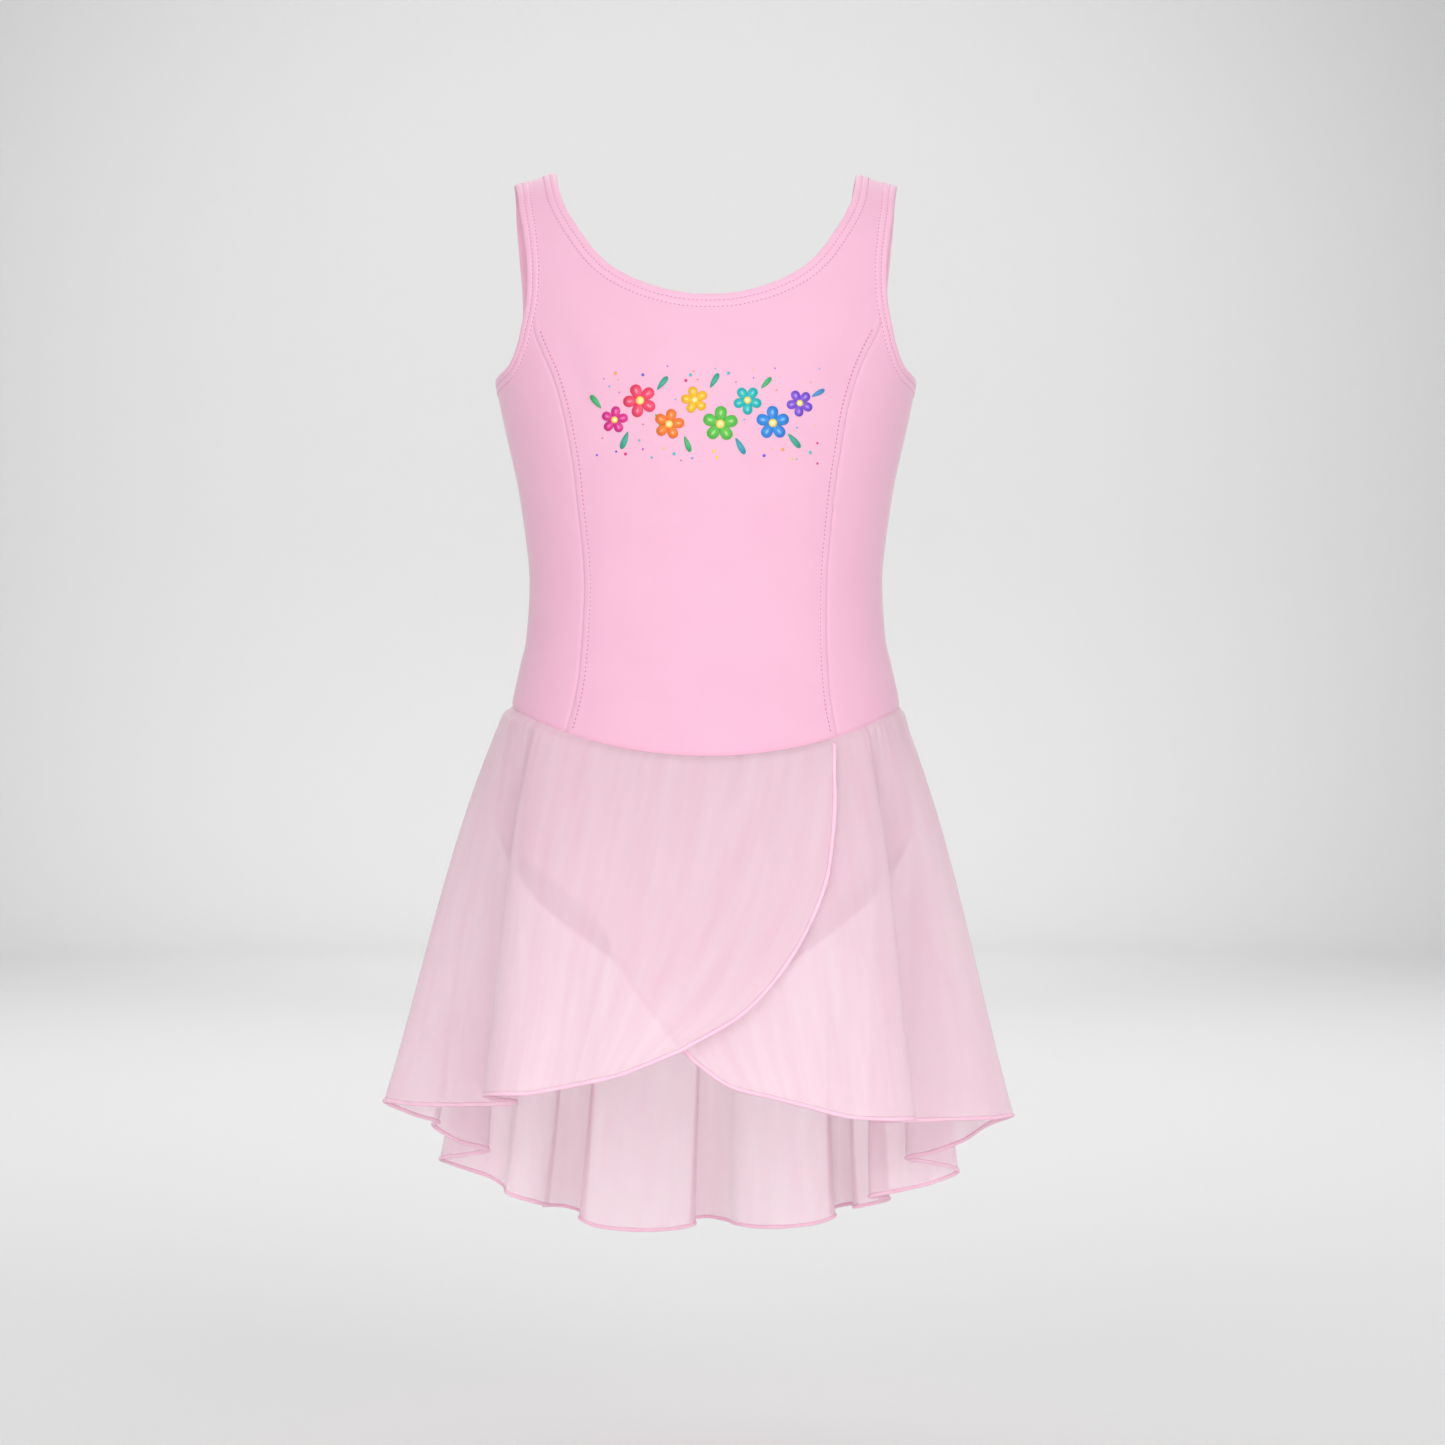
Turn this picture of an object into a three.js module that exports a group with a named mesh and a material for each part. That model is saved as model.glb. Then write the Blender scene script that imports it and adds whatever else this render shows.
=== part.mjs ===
// Skirted dance leotard for a child of about seven, in the round form it has when worn, with nobody in it.
// Millimetres, +Z up, front towards -Y. The origin is midway between the two shoulder seams.
import * as THREE from 'three';

// Cloth walls and seams
const KNIT = 1.2;
const BAND = 2.0;
const BAND_PROUD = 0.3;
const CHIFFON = 1.0;
const SEAM_GAP = 0.3;
const SIDE_GAP = 0.24;
const BAND_WIDTH = 8.5;
const HEM_ROLL_WIDTH = 2.2;
const HEM_ROLL_THICK = 1.5;

// Torso form that the knit follows: half width, depth to the front and depth to the back at each height
const TORSO = [
  { z: 0, half: 139, front: 0, back: 0 },
  { z: -1.5, half: 139, front: 11, back: 11 },
  { z: -5, half: 139, front: 20, back: 21 },
  { z: -12, half: 139, front: 31, back: 33 },
  { z: -25, half: 139, front: 44, back: 47 },
  { z: -40, half: 138, front: 55, back: 58 },
  { z: -60, half: 136.5, front: 64, back: 68 },
  { z: -85, half: 134, front: 71.5, back: 74 },
  { z: -110, half: 130.5, front: 76, back: 77 },
  { z: -137, half: 126.3, front: 78, back: 78 },
  { z: -162, half: 121, front: 77, back: 75.5 },
  { z: -187, half: 115.3, front: 75, back: 72 },
  { z: -208, half: 111.8, front: 72.5, back: 69 },
  { z: -235, half: 108.3, front: 69.5, back: 66.5 },
  { z: -253, half: 107.5, front: 68.5, back: 66 },
  { z: -284, half: 109.7, front: 69.5, back: 68 },
  { z: -298, half: 112.9, front: 71, back: 70.5 },
  { z: -324, half: 118.5, front: 74.5, back: 76 },
  { z: -354, half: 123.5, front: 79, back: 82 },
  { z: -394, half: 128, front: 83, back: 87 },
  { z: -430, half: 127, front: 81, back: 88 },
  { z: -460, half: 122, front: 71, back: 81 },
  { z: -485, half: 116, front: 50, back: 59 },
  { z: -499, half: 112, front: 27, back: 33 },
  { z: -504.5, half: 110, front: 12, back: 14 },
  { z: -506, half: 110, front: 0, back: 0 },
];
const SHOULDER_SLOPE = 0.3;
const SHOULDER_SLOPE_FROM = 92;
const SHOULDER_SLOPE_FADES = 95;

// Cut lines in front view, from the centre out; x is taken to both sides
const STRAP_INNER = 92;
const STRAP_OUTER = 117;
const FRONT_NECKLINE = [
  { x: 88, z: -16 },
  { x: 83, z: -28.5 },
  { x: 75.5, z: -41.5 },
  { x: 65.2, z: -55.8 },
  { x: 54.2, z: -65.6 },
  { x: 35.5, z: -75.2 },
  { x: 16, z: -80.5 },
  { x: 0, z: -81.6 },
];
const BACK_NECKLINE = [
  { x: 89.5, z: -20 },
  { x: 86, z: -40 },
  { x: 80.5, z: -60 },
  { x: 72, z: -80 },
  { x: 58, z: -97 },
  { x: 40, z: -108 },
  { x: 20, z: -113.5 },
  { x: 0, z: -115 },
];
const FRONT_ARMHOLE_ABOVE_PRINCESS = [
  { x: 112.8, z: -26 },
  { x: 110, z: -42 },
  { x: 108, z: -58 },
  { x: 107.6, z: -69 },
  { x: 108.2, z: -83 },
];
const ARMHOLE_MEETS_PRINCESS = { x: 110.5, z: -95.3 };
const FRONT_ARMHOLE_BELOW_PRINCESS = [
  { x: 114, z: -109 },
  { x: 119.3, z: -120 },
];
const BACK_ARMHOLE = [
  { x: 116.4, z: -28 },
  { x: 115, z: -48 },
  { x: 113.4, z: -68 },
  { x: 113.2, z: -86 },
  { x: 115.2, z: -103 },
  { x: 120.5, z: -118 },
];
const ARMHOLE_BOTTOM_Z = -127.5;
const PRINCESS = [
  { z: -104, left: 102.7, right: 101 },
  { z: -115, left: 98.4, right: 95.3 },
  { z: -130, left: 92, right: 89 },
  { z: -150, left: 86.3, right: 83.3 },
  { z: -175, left: 81.3, right: 79.2 },
  { z: -202, left: 78, right: 75.4 },
  { z: -228, left: 75.1, right: 73.1 },
  { z: -255, left: 73.6, right: 71.4 },
  { z: -285, left: 75, right: 71.2 },
  { z: -307, left: 77, right: 72.3 },
  { z: -324, left: 80.3, right: 73.9 },
];
const PRINCESS_AT_WAIST = { left: 82.8, right: 75.5 };
const WAIST_SIDE_Z = -324;
const WAIST_DIP_FRONT = 29.4;
const WAIST_DIP_BACK = 12;
const WAIST_DIP_POWER = 1.9;
const LEG_TOP_Z = -391;
const FRONT_LEG_LINE = [
  { x: 121.5, z: -403 },
  { x: 111, z: -413 },
  { x: 99, z: -422.5 },
  { x: 83, z: -434 },
  { x: 68, z: -447.5 },
  { x: 55, z: -463 },
  { x: 42, z: -480 },
  { x: 33, z: -495 },
];
const BACK_LEG_LINE = [
  { x: 125, z: -410 },
  { x: 116, z: -429 },
  { x: 103, z: -447 },
  { x: 85, z: -463 },
  { x: 66, z: -477 },
  { x: 48, z: -490 },
  { x: 35, z: -500 },
];
const CROTCH_HALF = 29;

// Skirt. Seam is the angle round the waist from the front centre, turning to the wearer's right side.
const OVER_LAYER_OFFSET = 3.0;
const UNDER_LAYER_OFFSET = 1.2;
const LAYER_CHANGE = { from: 60, to: 200 };
const BULGE_SIDE = 5;
const BULGE_BACK = 12;
const BULGE_TO_PEAK = 27 / 4;
const EDGE_FADE = 62;
const SKIRT_HEM = [
  { fold: 'over panel', seam: -36.5, x: -16.5, y: -129, z: -519.7 },
  { fold: 'over panel', seam: -25, x: -34.5, y: -132, z: -526.9 },
  { fold: 'over panel', seam: -10, x: -52.5, y: -134, z: -533.5 },
  { fold: 'over panel', seam: 7, x: -71, y: -135, z: -537.6 },
  { fold: 'soft dip', seam: 20, x: -84.5, y: -131.5, z: -540.6 },
  { fold: 'ridge', seam: 33, x: -102.5, y: -135, z: -543.3 },
  { fold: 'ridge', seam: 47, x: -121, y: -129, z: -544.3 },
  { fold: 'ridge turns in', seam: 55, x: -130, y: -115, z: -546.3 },
  { fold: 'valley wall', seam: 57, x: -122.5, y: -96, z: -551 },
  { fold: 'valley', seam: 59.5, x: -112, y: -76, z: -555.4 },
  { fold: 'slope', seam: 68, x: -151.5, y: -48, z: -559.9 },
  { fold: 'slope', seam: 77, x: -177.5, y: -30, z: -561.2 },
  { fold: 'side ridge', seam: 85, x: -194.5, y: -12, z: -561.6 },
  { fold: 'turns in', seam: 90, x: -178, y: 0, z: -571 },
  { fold: 'small valley', seam: 93.5, x: -163, y: 11, z: -577.3 },
  { fold: 'small ridge', seam: 96.5, x: -167.5, y: 21, z: -580 },
  { fold: 'slope', seam: 101, x: -153, y: 34, z: -591.5 },
  { fold: 'valley', seam: 107, x: -134.5, y: 50, z: -599.3 },
  { fold: 'slope', seam: 113, x: -151.5, y: 65, z: -604.6 },
  { fold: 'ridge', seam: 119, x: -167, y: 84, z: -609.3 },
  { fold: 'slope', seam: 124, x: -156.5, y: 98, z: -615.9 },
  { fold: 'ridge', seam: 130, x: -137, y: 112, z: -624.8 },
  { fold: 'turns in', seam: 134.5, x: -128, y: 108, z: -629.8 },
  { fold: 'valley', seam: 138.5, x: -125, y: 96, z: -633 },
  { fold: 'slope', seam: 145, x: -107.5, y: 101, z: -639.5 },
  { fold: 'turns out', seam: 150, x: -99.5, y: 118, z: -644 },
  { fold: 'back wave', seam: 152, x: -103, y: 134, z: -646.5 },
  { fold: 'back wave', seam: 154.5, x: -89.5, y: 149, z: -649.4 },
  { fold: 'back wave', seam: 157, x: -76, y: 134, z: -652 },
  { fold: 'turns in', seam: 159, x: -79.5, y: 119, z: -652.7 },
  { fold: 'trough', seam: 163, x: -69, y: 112.5, z: -656.6 },
  { fold: 'trough', seam: 171, x: -40.5, y: 109, z: -659 },
  { fold: 'trough', seam: 178, x: -16, y: 112, z: -658.3 },
  { fold: 'turns out', seam: 181, x: -5, y: 118, z: -656.4 },
  { fold: 'back wave', seam: 182.8, x: -8, y: 134, z: -655.9 },
  { fold: 'back wave', seam: 185, x: 4, y: 149, z: -656.5 },
  { fold: 'back wave', seam: 187.5, x: 16, y: 136, z: -656.8 },
  { fold: 'turns in', seam: 190, x: 22, y: 120, z: -657 },
  { fold: 'trough', seam: 196, x: 38, y: 111, z: -657.6 },
  { fold: 'trough', seam: 203, x: 61, y: 109, z: -656.6 },
  { fold: 'trough', seam: 208.5, x: 76.5, y: 112, z: -654.5 },
  { fold: 'turns out', seam: 211, x: 85.5, y: 118, z: -651.4 },
  { fold: 'back wave', seam: 212.8, x: 82.5, y: 132, z: -650.4 },
  { fold: 'back wave', seam: 215, x: 91, y: 146, z: -649.1 },
  { fold: 'back wave', seam: 217.2, x: 101, y: 133, z: -645.8 },
  { fold: 'turns in', seam: 219.5, x: 97.5, y: 118, z: -646 },
  { fold: 'trough', seam: 225, x: 112.5, y: 111, z: -642 },
  { fold: 'ridge', seam: 229, x: 119.5, y: 101, z: -637.8 },
  { fold: 'valley', seam: 233, x: 105, y: 80, z: -633.6 },
  { fold: 'slope', seam: 240, x: 122, y: 80, z: -630.4 },
  { fold: 'slope', seam: 247, x: 146, y: 89, z: -626.3 },
  { fold: 'ridge', seam: 253, x: 161.5, y: 81, z: -617.8 },
  { fold: 'turns in', seam: 258, x: 144.5, y: 61, z: -610 },
  { fold: 'valley', seam: 262.5, x: 125.5, y: 45, z: -604.6 },
  { fold: 'slope', seam: 268, x: 140.5, y: 33, z: -599.5 },
  { fold: 'small ridge', seam: 273.5, x: 158.5, y: 22, z: -591 },
  { fold: 'slope', seam: 278, x: 172, y: 6, z: -579.5 },
  { fold: 'side ridge', seam: 283, x: 186, y: -14, z: -570.8 },
  { fold: 'slope', seam: 290, x: 173.5, y: -31, z: -570.4 },
  { fold: 'slope', seam: 297, x: 148, y: -48, z: -569.2 },
  { fold: 'valley', seam: 305, x: 97, y: -75, z: -567.1 },
  { fold: 'valley wall', seam: 308, x: 105.5, y: -96, z: -564.2 },
  { fold: 'ridge', seam: 311, x: 119, y: -112, z: -561 },
  { fold: 'under panel', seam: 320, x: 106, y: -124, z: -560 },
  { fold: 'under panel', seam: 335, x: 80, y: -128, z: -558.1 },
  { fold: 'soft dip', seam: 350, x: 55, y: -126, z: -552 },
  { fold: 'under panel', seam: 363, x: 36, y: -124, z: -547.4 },
  { fold: 'under panel', seam: 379, x: 11.5, y: -121, z: -541 },
  { fold: 'under panel', seam: 394, x: -9, y: -117, z: -526.8 },
];
const OVER_EDGE = [
  { x: 73, y: -75, z: -362 },
  { x: 73, y: -82, z: -379 },
  { x: 71, y: -91, z: -402 },
  { x: 67, y: -99.5, z: -425 },
  { x: 58, y: -107, z: -447.7 },
  { x: 46, y: -113.5, z: -468.7 },
  { x: 31.5, y: -119, z: -487.3 },
  { x: 16, y: -123.5, z: -501.4 },
];
const UNDER_EDGE = [
  { x: -67, y: -75, z: -373.5 },
  { x: -65, y: -84, z: -396.6 },
  { x: -63.5, y: -91, z: -419.7 },
  { x: -59.5, y: -97.5, z: -442.7 },
  { x: -53.5, y: -103, z: -465.6 },
  { x: -43, y: -107.5, z: -485.6 },
  { x: -31.5, y: -110.5, z: -500 },
  { x: -21, y: -114, z: -513.2 },
];

// Grid steps
const STEPS = {
  panelRows: 8, strap: 6, backStrapUpper: 6, backStrap: 9, frontWaist: 8, sideWaist: 5, backWaist: 14, briefSide: 3,
  leg: 10, skirtRows: 9,
};
const FRONT_NECK_BREAKS = [0, 0.29, 0.46, 0.54, 0.71, 1];
const BACK_NECK_BREAKS = [0, 0.36, 0.46, 0.48, 0.52, 0.54, 0.64, 1];
const SKIRT_COLUMN = 13;
const SKIRT_COLUMN_TURN = 8;
const NEIGHBOUR_LEAST = 2;
const CURVE_DIVISIONS = 400;
const HALVINGS = 40;

// Middles of the openings, for the side of an edge that is cloth
const HOLE_MIDDLES = {
  neck: new THREE.Vector3(0, 0, -40),
  arm: new THREE.Vector3(139, 0, -60),
  leg: new THREE.Vector3(110, 0, -480),
};

// Colours and finish of the three cloths
const PINK_KNIT = { color: 0xf9bfdb, roughness: 0.55, metalness: 0 };
const PINK_EDGE = { color: 0xf5b8d6, roughness: 0.6, metalness: 0 };
const PALE_CHIFFON = { color: 0xf3d6e2, roughness: 0.7, metalness: 0, side: THREE.DoubleSide };

// Chart of the torso form: across is the turn round the body times CHART_RADIUS, down is the length from the shoulder
const CHART_RADIUS = 100;
const QUARTER = (Math.PI / 2) * CHART_RADIUS;
const lengths = [0];
for (let i = 1; i < TORSO.length; i += 1) {
  const step = Math.hypot(TORSO[i].z - TORSO[i - 1].z, TORSO[i].front - TORSO[i - 1].front);
  lengths.push(lengths[i - 1] + step);
}
const CROTCH_DOWN = lengths[lengths.length - 1];

// The form is level where it closes over the shoulders and under the crotch
function torsoSlope(i, key) {
  if (key === 'z' && (i === 0 || i === TORSO.length - 1)) return 0;
  const before = Math.max(i - 1, 0);
  const after = Math.min(i + 1, TORSO.length - 1);
  return (TORSO[after][key] - TORSO[before][key]) / (lengths[after] - lengths[before]);
}

function torsoSize(down, key) {
  const at = THREE.MathUtils.clamp(down, 0, CROTCH_DOWN);
  let i = 0;
  while (i < TORSO.length - 2 && lengths[i + 1] < at) i += 1;
  const span = lengths[i + 1] - lengths[i];
  const t = (at - lengths[i]) / span;
  const start = TORSO[i][key] * (2 * t ** 3 - 3 * t ** 2 + 1) + torsoSlope(i, key) * span * (t ** 3 - 2 * t ** 2 + t);
  const end = TORSO[i + 1][key] * (3 * t ** 2 - 2 * t ** 3) + torsoSlope(i + 1, key) * span * (t ** 3 - t ** 2);
  return start + end;
}

function shoulderDrop(x, down) {
  const fade = 1 - THREE.MathUtils.smoothstep(down, 0, SHOULDER_SLOPE_FADES);
  return SHOULDER_SLOPE * Math.max(0, Math.abs(x) - SHOULDER_SLOPE_FROM) * fade;
}

// The point of the form at a place { across, down, face }, face -1 for the front and 1 for the back
function onTorso(place) {
  const turn = place.across / CHART_RADIUS;
  const depth = torsoSize(place.down, place.face < 0 ? 'front' : 'back');
  const x = torsoSize(place.down, 'half') * Math.cos(turn);
  const z = torsoSize(place.down, 'z') - shoulderDrop(x, place.down);
  return new THREE.Vector3(x, place.face * depth * Math.sin(turn), z);
}

// The point with its steps along the chart's two ways and the outward normal
function torsoFrame(place) {
  const nudge = 0.5;
  const up = { ...place, down: Math.max(0, place.down - nudge) };
  const low = { ...place, down: Math.min(CROTCH_DOWN, place.down + nudge) };
  const right = onTorso({ ...place, across: place.across - nudge });
  const left = onTorso({ ...place, across: place.across + nudge });
  const acrossStep = left.sub(right).divideScalar(2 * nudge);
  const downStep = onTorso(low).sub(onTorso(up)).divideScalar(low.down - up.down);
  const normal = acrossStep.clone().cross(downStep).multiplyScalar(-place.face).normalize();
  return { point: onTorso(place), acrossStep, downStep, normal };
}

// The place of the form that lies at x and z, found by halving the length down
function placeAt(x, z, face) {
  let high = 0;
  let low = CROTCH_DOWN;
  for (let i = 0; i < HALVINGS; i += 1) {
    const middle = (high + low) / 2;
    if (torsoSize(middle, 'z') - shoulderDrop(x, middle) > z) high = middle;
    else low = middle;
  }
  const cosine = THREE.MathUtils.clamp(x / torsoSize(high, 'half'), -1, 1);
  return { across: Math.acos(cosine) * CHART_RADIUS, down: high, face };
}

const shoulderPlace = (x, face) => ({
  across: Math.acos(x / TORSO[0].half) * CHART_RADIUS, down: SEAM_GAP, face,
});
const crotchPlace = (x, face) => ({
  across: Math.acos(x / TORSO.at(-1).half) * CHART_RADIUS, down: CROTCH_DOWN - SEAM_GAP, face,
});
const mirrored = (places) => places.map((p) => ({ ...p, across: 2 * QUARTER - p.across })).reverse();
const shifted = (places, across) => places.map((p) => ({ ...p, across: p.across + across }));
const joined = (...lines) => lines.flatMap((line, i) => (i === 0 ? line : line.slice(1)));

// Runs a smooth line through places in the chart and cuts it into equal steps
function smoothLine(places, steps, from = 0, to = 1) {
  const corners = places.map((p) => new THREE.Vector3(p.across, p.down, 0));
  const curve = new THREE.CatmullRomCurve3(corners, false, 'centripetal');
  curve.arcLengthDivisions = CURVE_DIVISIONS;
  return Array.from({ length: steps + 1 }, (_, i) => {
    const v = curve.getPointAt(from + ((to - from) * i) / steps);
    return { across: v.x, down: v.y, face: places[0].face };
  });
}

// A line cut into stretches: breaks are shares of its length, counts the steps between them
const brokenLine = (places, breaks, counts) => joined(
  ...counts.map((count, i) => smoothLine(places, count, breaks[i], breaks[i + 1])),
);

function waistZ(turn, face) {
  const dip = face < 0 ? WAIST_DIP_FRONT : WAIST_DIP_BACK;
  return WAIST_SIDE_Z - dip * Math.abs(Math.sin(turn)) ** WAIST_DIP_POWER;
}

// The waist seam between two places across, moved down the cloth by lift
function waistLine(acrossFrom, acrossTo, face, steps, lift) {
  return Array.from({ length: steps + 1 }, (_, i) => {
    const across = acrossFrom + ((acrossTo - acrossFrom) * i) / steps;
    const down = placeAt(0, waistZ(across / CHART_RADIUS, face), face).down;
    return { across, down: down + lift, face };
  });
}

// A straight line down the body at one place across
function sideLine(across, from, to, steps) {
  return Array.from({ length: steps + 1 }, (_, i) => ({
    across, down: from.down + ((to.down - from.down) * i) / steps, face: from.face,
  }));
}

// A sheet between two lines of equal count, as rows of places
function ruledPlaces(upper, lower, rows) {
  return Array.from({ length: rows + 1 }, (_, r) => upper.map((p, i) => ({
    across: p.across + ((lower[i].across - p.across) * r) / rows,
    down: p.down + ((lower[i].down - p.down) * r) / rows,
    face: p.face,
  })));
}

// A sheet inside four lines: upper and lower run across, first and last run down
function fourSidedPlaces(upper, lower, first, last) {
  const rows = first.length - 1;
  const columns = upper.length - 1;
  const mix = (key, r, c) => {
    const v = r / rows;
    const u = c / columns;
    const alongDown = (1 - v) * upper[c][key] + v * lower[c][key];
    const alongAcross = (1 - u) * first[r][key] + u * last[r][key];
    const corners = (1 - v) * ((1 - u) * upper[0][key] + u * upper[columns][key])
      + v * ((1 - u) * lower[0][key] + u * lower[columns][key]);
    return alongDown + alongAcross - corners;
  };
  return first.map((_, r) => upper.map((p, c) => ({
    across: mix('across', r, c), down: mix('down', r, c), face: p.face,
  })));
}

// Steps from a place square to an edge, staying on the form
function insetPlace(place, direction, distance) {
  const stepCount = 4;
  let at = { ...place };
  for (let i = 0; i < stepCount; i += 1) {
    const { acrossStep, downStep } = torsoFrame(at);
    const aa = acrossStep.dot(acrossStep);
    const ad = acrossStep.dot(downStep);
    const dd = downStep.dot(downStep);
    const a = direction.dot(acrossStep);
    const d = direction.dot(downStep);
    const scale = distance / stepCount / (aa * dd - ad * ad);
    const down = THREE.MathUtils.clamp(at.down + (d * aa - a * ad) * scale, SEAM_GAP, CROTCH_DOWN - SEAM_GAP);
    at = { ...at, across: at.across + (a * dd - d * ad) * scale, down };
  }
  return at;
}

// For each place of a closed edge: the edge, the inner line of its band, and the line where the panel starts
function edgeStrip(ring, holeMiddle) {
  const frames = ring.map(torsoFrame);
  const neighbour = (i, step) => {
    let k = i;
    do k = (k + step + ring.length) % ring.length;
    while (frames[k].point.distanceTo(frames[i].point) < NEIGHBOUR_LEAST);
    return frames[k].point;
  };
  return ring.map((place, i) => {
    const direction = neighbour(i, 1).clone().sub(neighbour(i, -1)).cross(frames[i].normal).normalize();
    if (direction.dot(holeMiddle.clone().sub(frames[i].point)) > 0) direction.negate();
    return {
      edge: place,
      band: insetPlace(place, direction, BAND_WIDTH),
      panel: insetPlace(place, direction, BAND_WIDTH + SEAM_GAP),
    };
  });
}

const panelLine = (strip, from, count) => strip.slice(from, from + count + 1).map((s) => ({ ...s.panel }));

// Splits a four-cornered face along its shorter diagonal, so faces either side of a seam split alike
function addFace(points, indices, a, b, c, d) {
  if (points[a].distanceTo(points[c]) <= points[b].distanceTo(points[d])) indices.push(a, b, c, a, c, d);
  else indices.push(a, b, d, b, c, d);
}

// Closes a grid of outer points and a grid of inner points into one wall
function wallGeometry(outer, inner) {
  const rows = outer.length;
  const columns = outer[0].length;
  const points = [...outer.flat(), ...inner.flat()];
  const indices = [];
  const far = rows * columns;
  const quad = (a, b, c, d) => addFace(points, indices, a, b, c, d);
  for (let r = 0; r < rows - 1; r += 1) {
    for (let c = 0; c < columns - 1; c += 1) {
      const a = r * columns + c;
      quad(a, a + 1, a + columns + 1, a + columns);
      quad(far + a, far + a + columns, far + a + columns + 1, far + a + 1);
    }
  }
  const rim = [];
  for (let c = 0; c < columns; c += 1) rim.push(c);
  for (let r = 1; r < rows; r += 1) rim.push(r * columns + columns - 1);
  for (let c = columns - 2; c >= 0; c -= 1) rim.push((rows - 1) * columns + c);
  for (let r = rows - 2; r > 0; r -= 1) rim.push(r * columns);
  rim.forEach((a, i) => {
    const b = rim[(i + 1) % rim.length];
    quad(b, a, far + a, far + b);
  });
  return turnedOut(points, indices);
}

// Joins sections of equal count into a ring, or into a bar with closed ends
function barGeometry(sections, isRing) {
  const sides = sections[0].length;
  const count = sections.length;
  const points = sections.flat();
  const indices = [];
  for (let i = 0; i < (isRing ? count : count - 1); i += 1) {
    const next = (i + 1) % count;
    for (let k = 0; k < sides; k += 1) {
      const l = (k + 1) % sides;
      addFace(points, indices, i * sides + k, i * sides + l, next * sides + l, next * sides + k);
    }
  }
  if (!isRing) {
    const last = (count - 1) * sides;
    for (let k = 1; k < sides - 1; k += 1) {
      indices.push(0, k + 1, k, last, last + k, last + k + 1);
    }
  }
  return turnedOut(points, indices);
}

// Gives the geometry outward faces whichever way its grid ran
function turnedOut(points, indices) {
  let volume = 0;
  for (let i = 0; i < indices.length; i += 3) {
    const [a, b, c] = [points[indices[i]], points[indices[i + 1]], points[indices[i + 2]]];
    volume += a.dot(b.clone().cross(c)) / 6;
  }
  if (volume < 0) {
    for (let i = 0; i < indices.length; i += 3) {
      [indices[i + 1], indices[i + 2]] = [indices[i + 2], indices[i + 1]];
    }
  }
  const geometry = new THREE.BufferGeometry();
  geometry.setAttribute('position', new THREE.Float32BufferAttribute(points.flatMap((p) => p.toArray()), 3));
  geometry.setIndex(indices);
  geometry.computeVertexNormals();
  return geometry;
}

const group = new THREE.Group();

function addPiece(name, geometry, finish) {
  const mesh = new THREE.Mesh(geometry, new THREE.MeshStandardMaterial(finish));
  mesh.name = name;
  group.add(mesh);
}

function raised(place, height) {
  const { point, normal } = torsoFrame(place);
  return point.addScaledVector(normal, height);
}

function addKnitPanel(name, places) {
  const atHeight = (height) => places.map((row) => row.map((place) => raised(place, height)));
  addPiece(name, wallGeometry(atHeight(0), atHeight(-KNIT)), PINK_KNIT);
}

function addEdgeBand(name, strip) {
  const sections = strip.map(({ edge, band }) => [
    raised(edge, BAND_PROUD), raised(band, BAND_PROUD), raised(band, BAND_PROUD - BAND), raised(edge, BAND_PROUD - BAND),
  ]);
  addPiece(name, barGeometry(sections, true), PINK_EDGE);
}

// Cut lines of the knit on the +X side, from the shoulder down or the side round
const toPlaces = (rows, face) => rows.map((row) => placeAt(row.x, row.z, face));
const sidePlace = (z, face) => ({ across: 0, down: placeAt(0, z, face).down, face });
const atSideSeam = (place, face) => ({ ...place, across: SIDE_GAP, face });
const frontNeckHalf = [shoulderPlace(STRAP_INNER, -1), ...toPlaces(FRONT_NECKLINE, -1)];
const backNeckHalf = [shoulderPlace(STRAP_INNER, 1), ...toPlaces(BACK_NECKLINE, 1)];
const princessTop = placeAt(ARMHOLE_MEETS_PRINCESS.x, ARMHOLE_MEETS_PRINCESS.z, -1);
const armholeAbove = [shoulderPlace(STRAP_OUTER, -1), ...toPlaces(FRONT_ARMHOLE_ABOVE_PRINCESS, -1), princessTop];
const armholeBelow = [princessTop, ...toPlaces(FRONT_ARMHOLE_BELOW_PRINCESS, -1), sidePlace(ARMHOLE_BOTTOM_Z, -1)];
const armholeBehind = [shoulderPlace(STRAP_OUTER, 1), ...toPlaces(BACK_ARMHOLE, 1), sidePlace(ARMHOLE_BOTTOM_Z, 1)];

function legLine(face) {
  const rows = toPlaces(face < 0 ? FRONT_LEG_LINE : BACK_LEG_LINE, face);
  return [sidePlace(LEG_TOP_Z, face), ...rows, crotchPlace(CROTCH_HALF, face)];
}

// The neck edge: front from +X to -X, then back from -X to +X
const frontNeck = brokenLine(
  joined(frontNeckHalf, mirrored(frontNeckHalf)),
  FRONT_NECK_BREAKS,
  [STEPS.strap, STEPS.panelRows, STEPS.frontWaist, STEPS.panelRows, STEPS.strap],
);
const backStrapLower = STEPS.backStrap - STEPS.backStrapUpper;
const backNeck = brokenLine(
  joined(backNeckHalf, mirrored(backNeckHalf)),
  BACK_NECK_BREAKS,
  [
    STEPS.backStrapUpper, backStrapLower, STEPS.panelRows, STEPS.backWaist,
    STEPS.panelRows, backStrapLower, STEPS.backStrapUpper,
  ],
);
const neckStrip = edgeStrip([...frontNeck, ...backNeck.reverse()], HOLE_MIDDLES.neck);
const frontNeckPanel = panelLine(neckStrip, 0, frontNeck.length - 1);
const backNeckPanel = panelLine(neckStrip, frontNeck.length, backNeck.length - 1).reverse();

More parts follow.
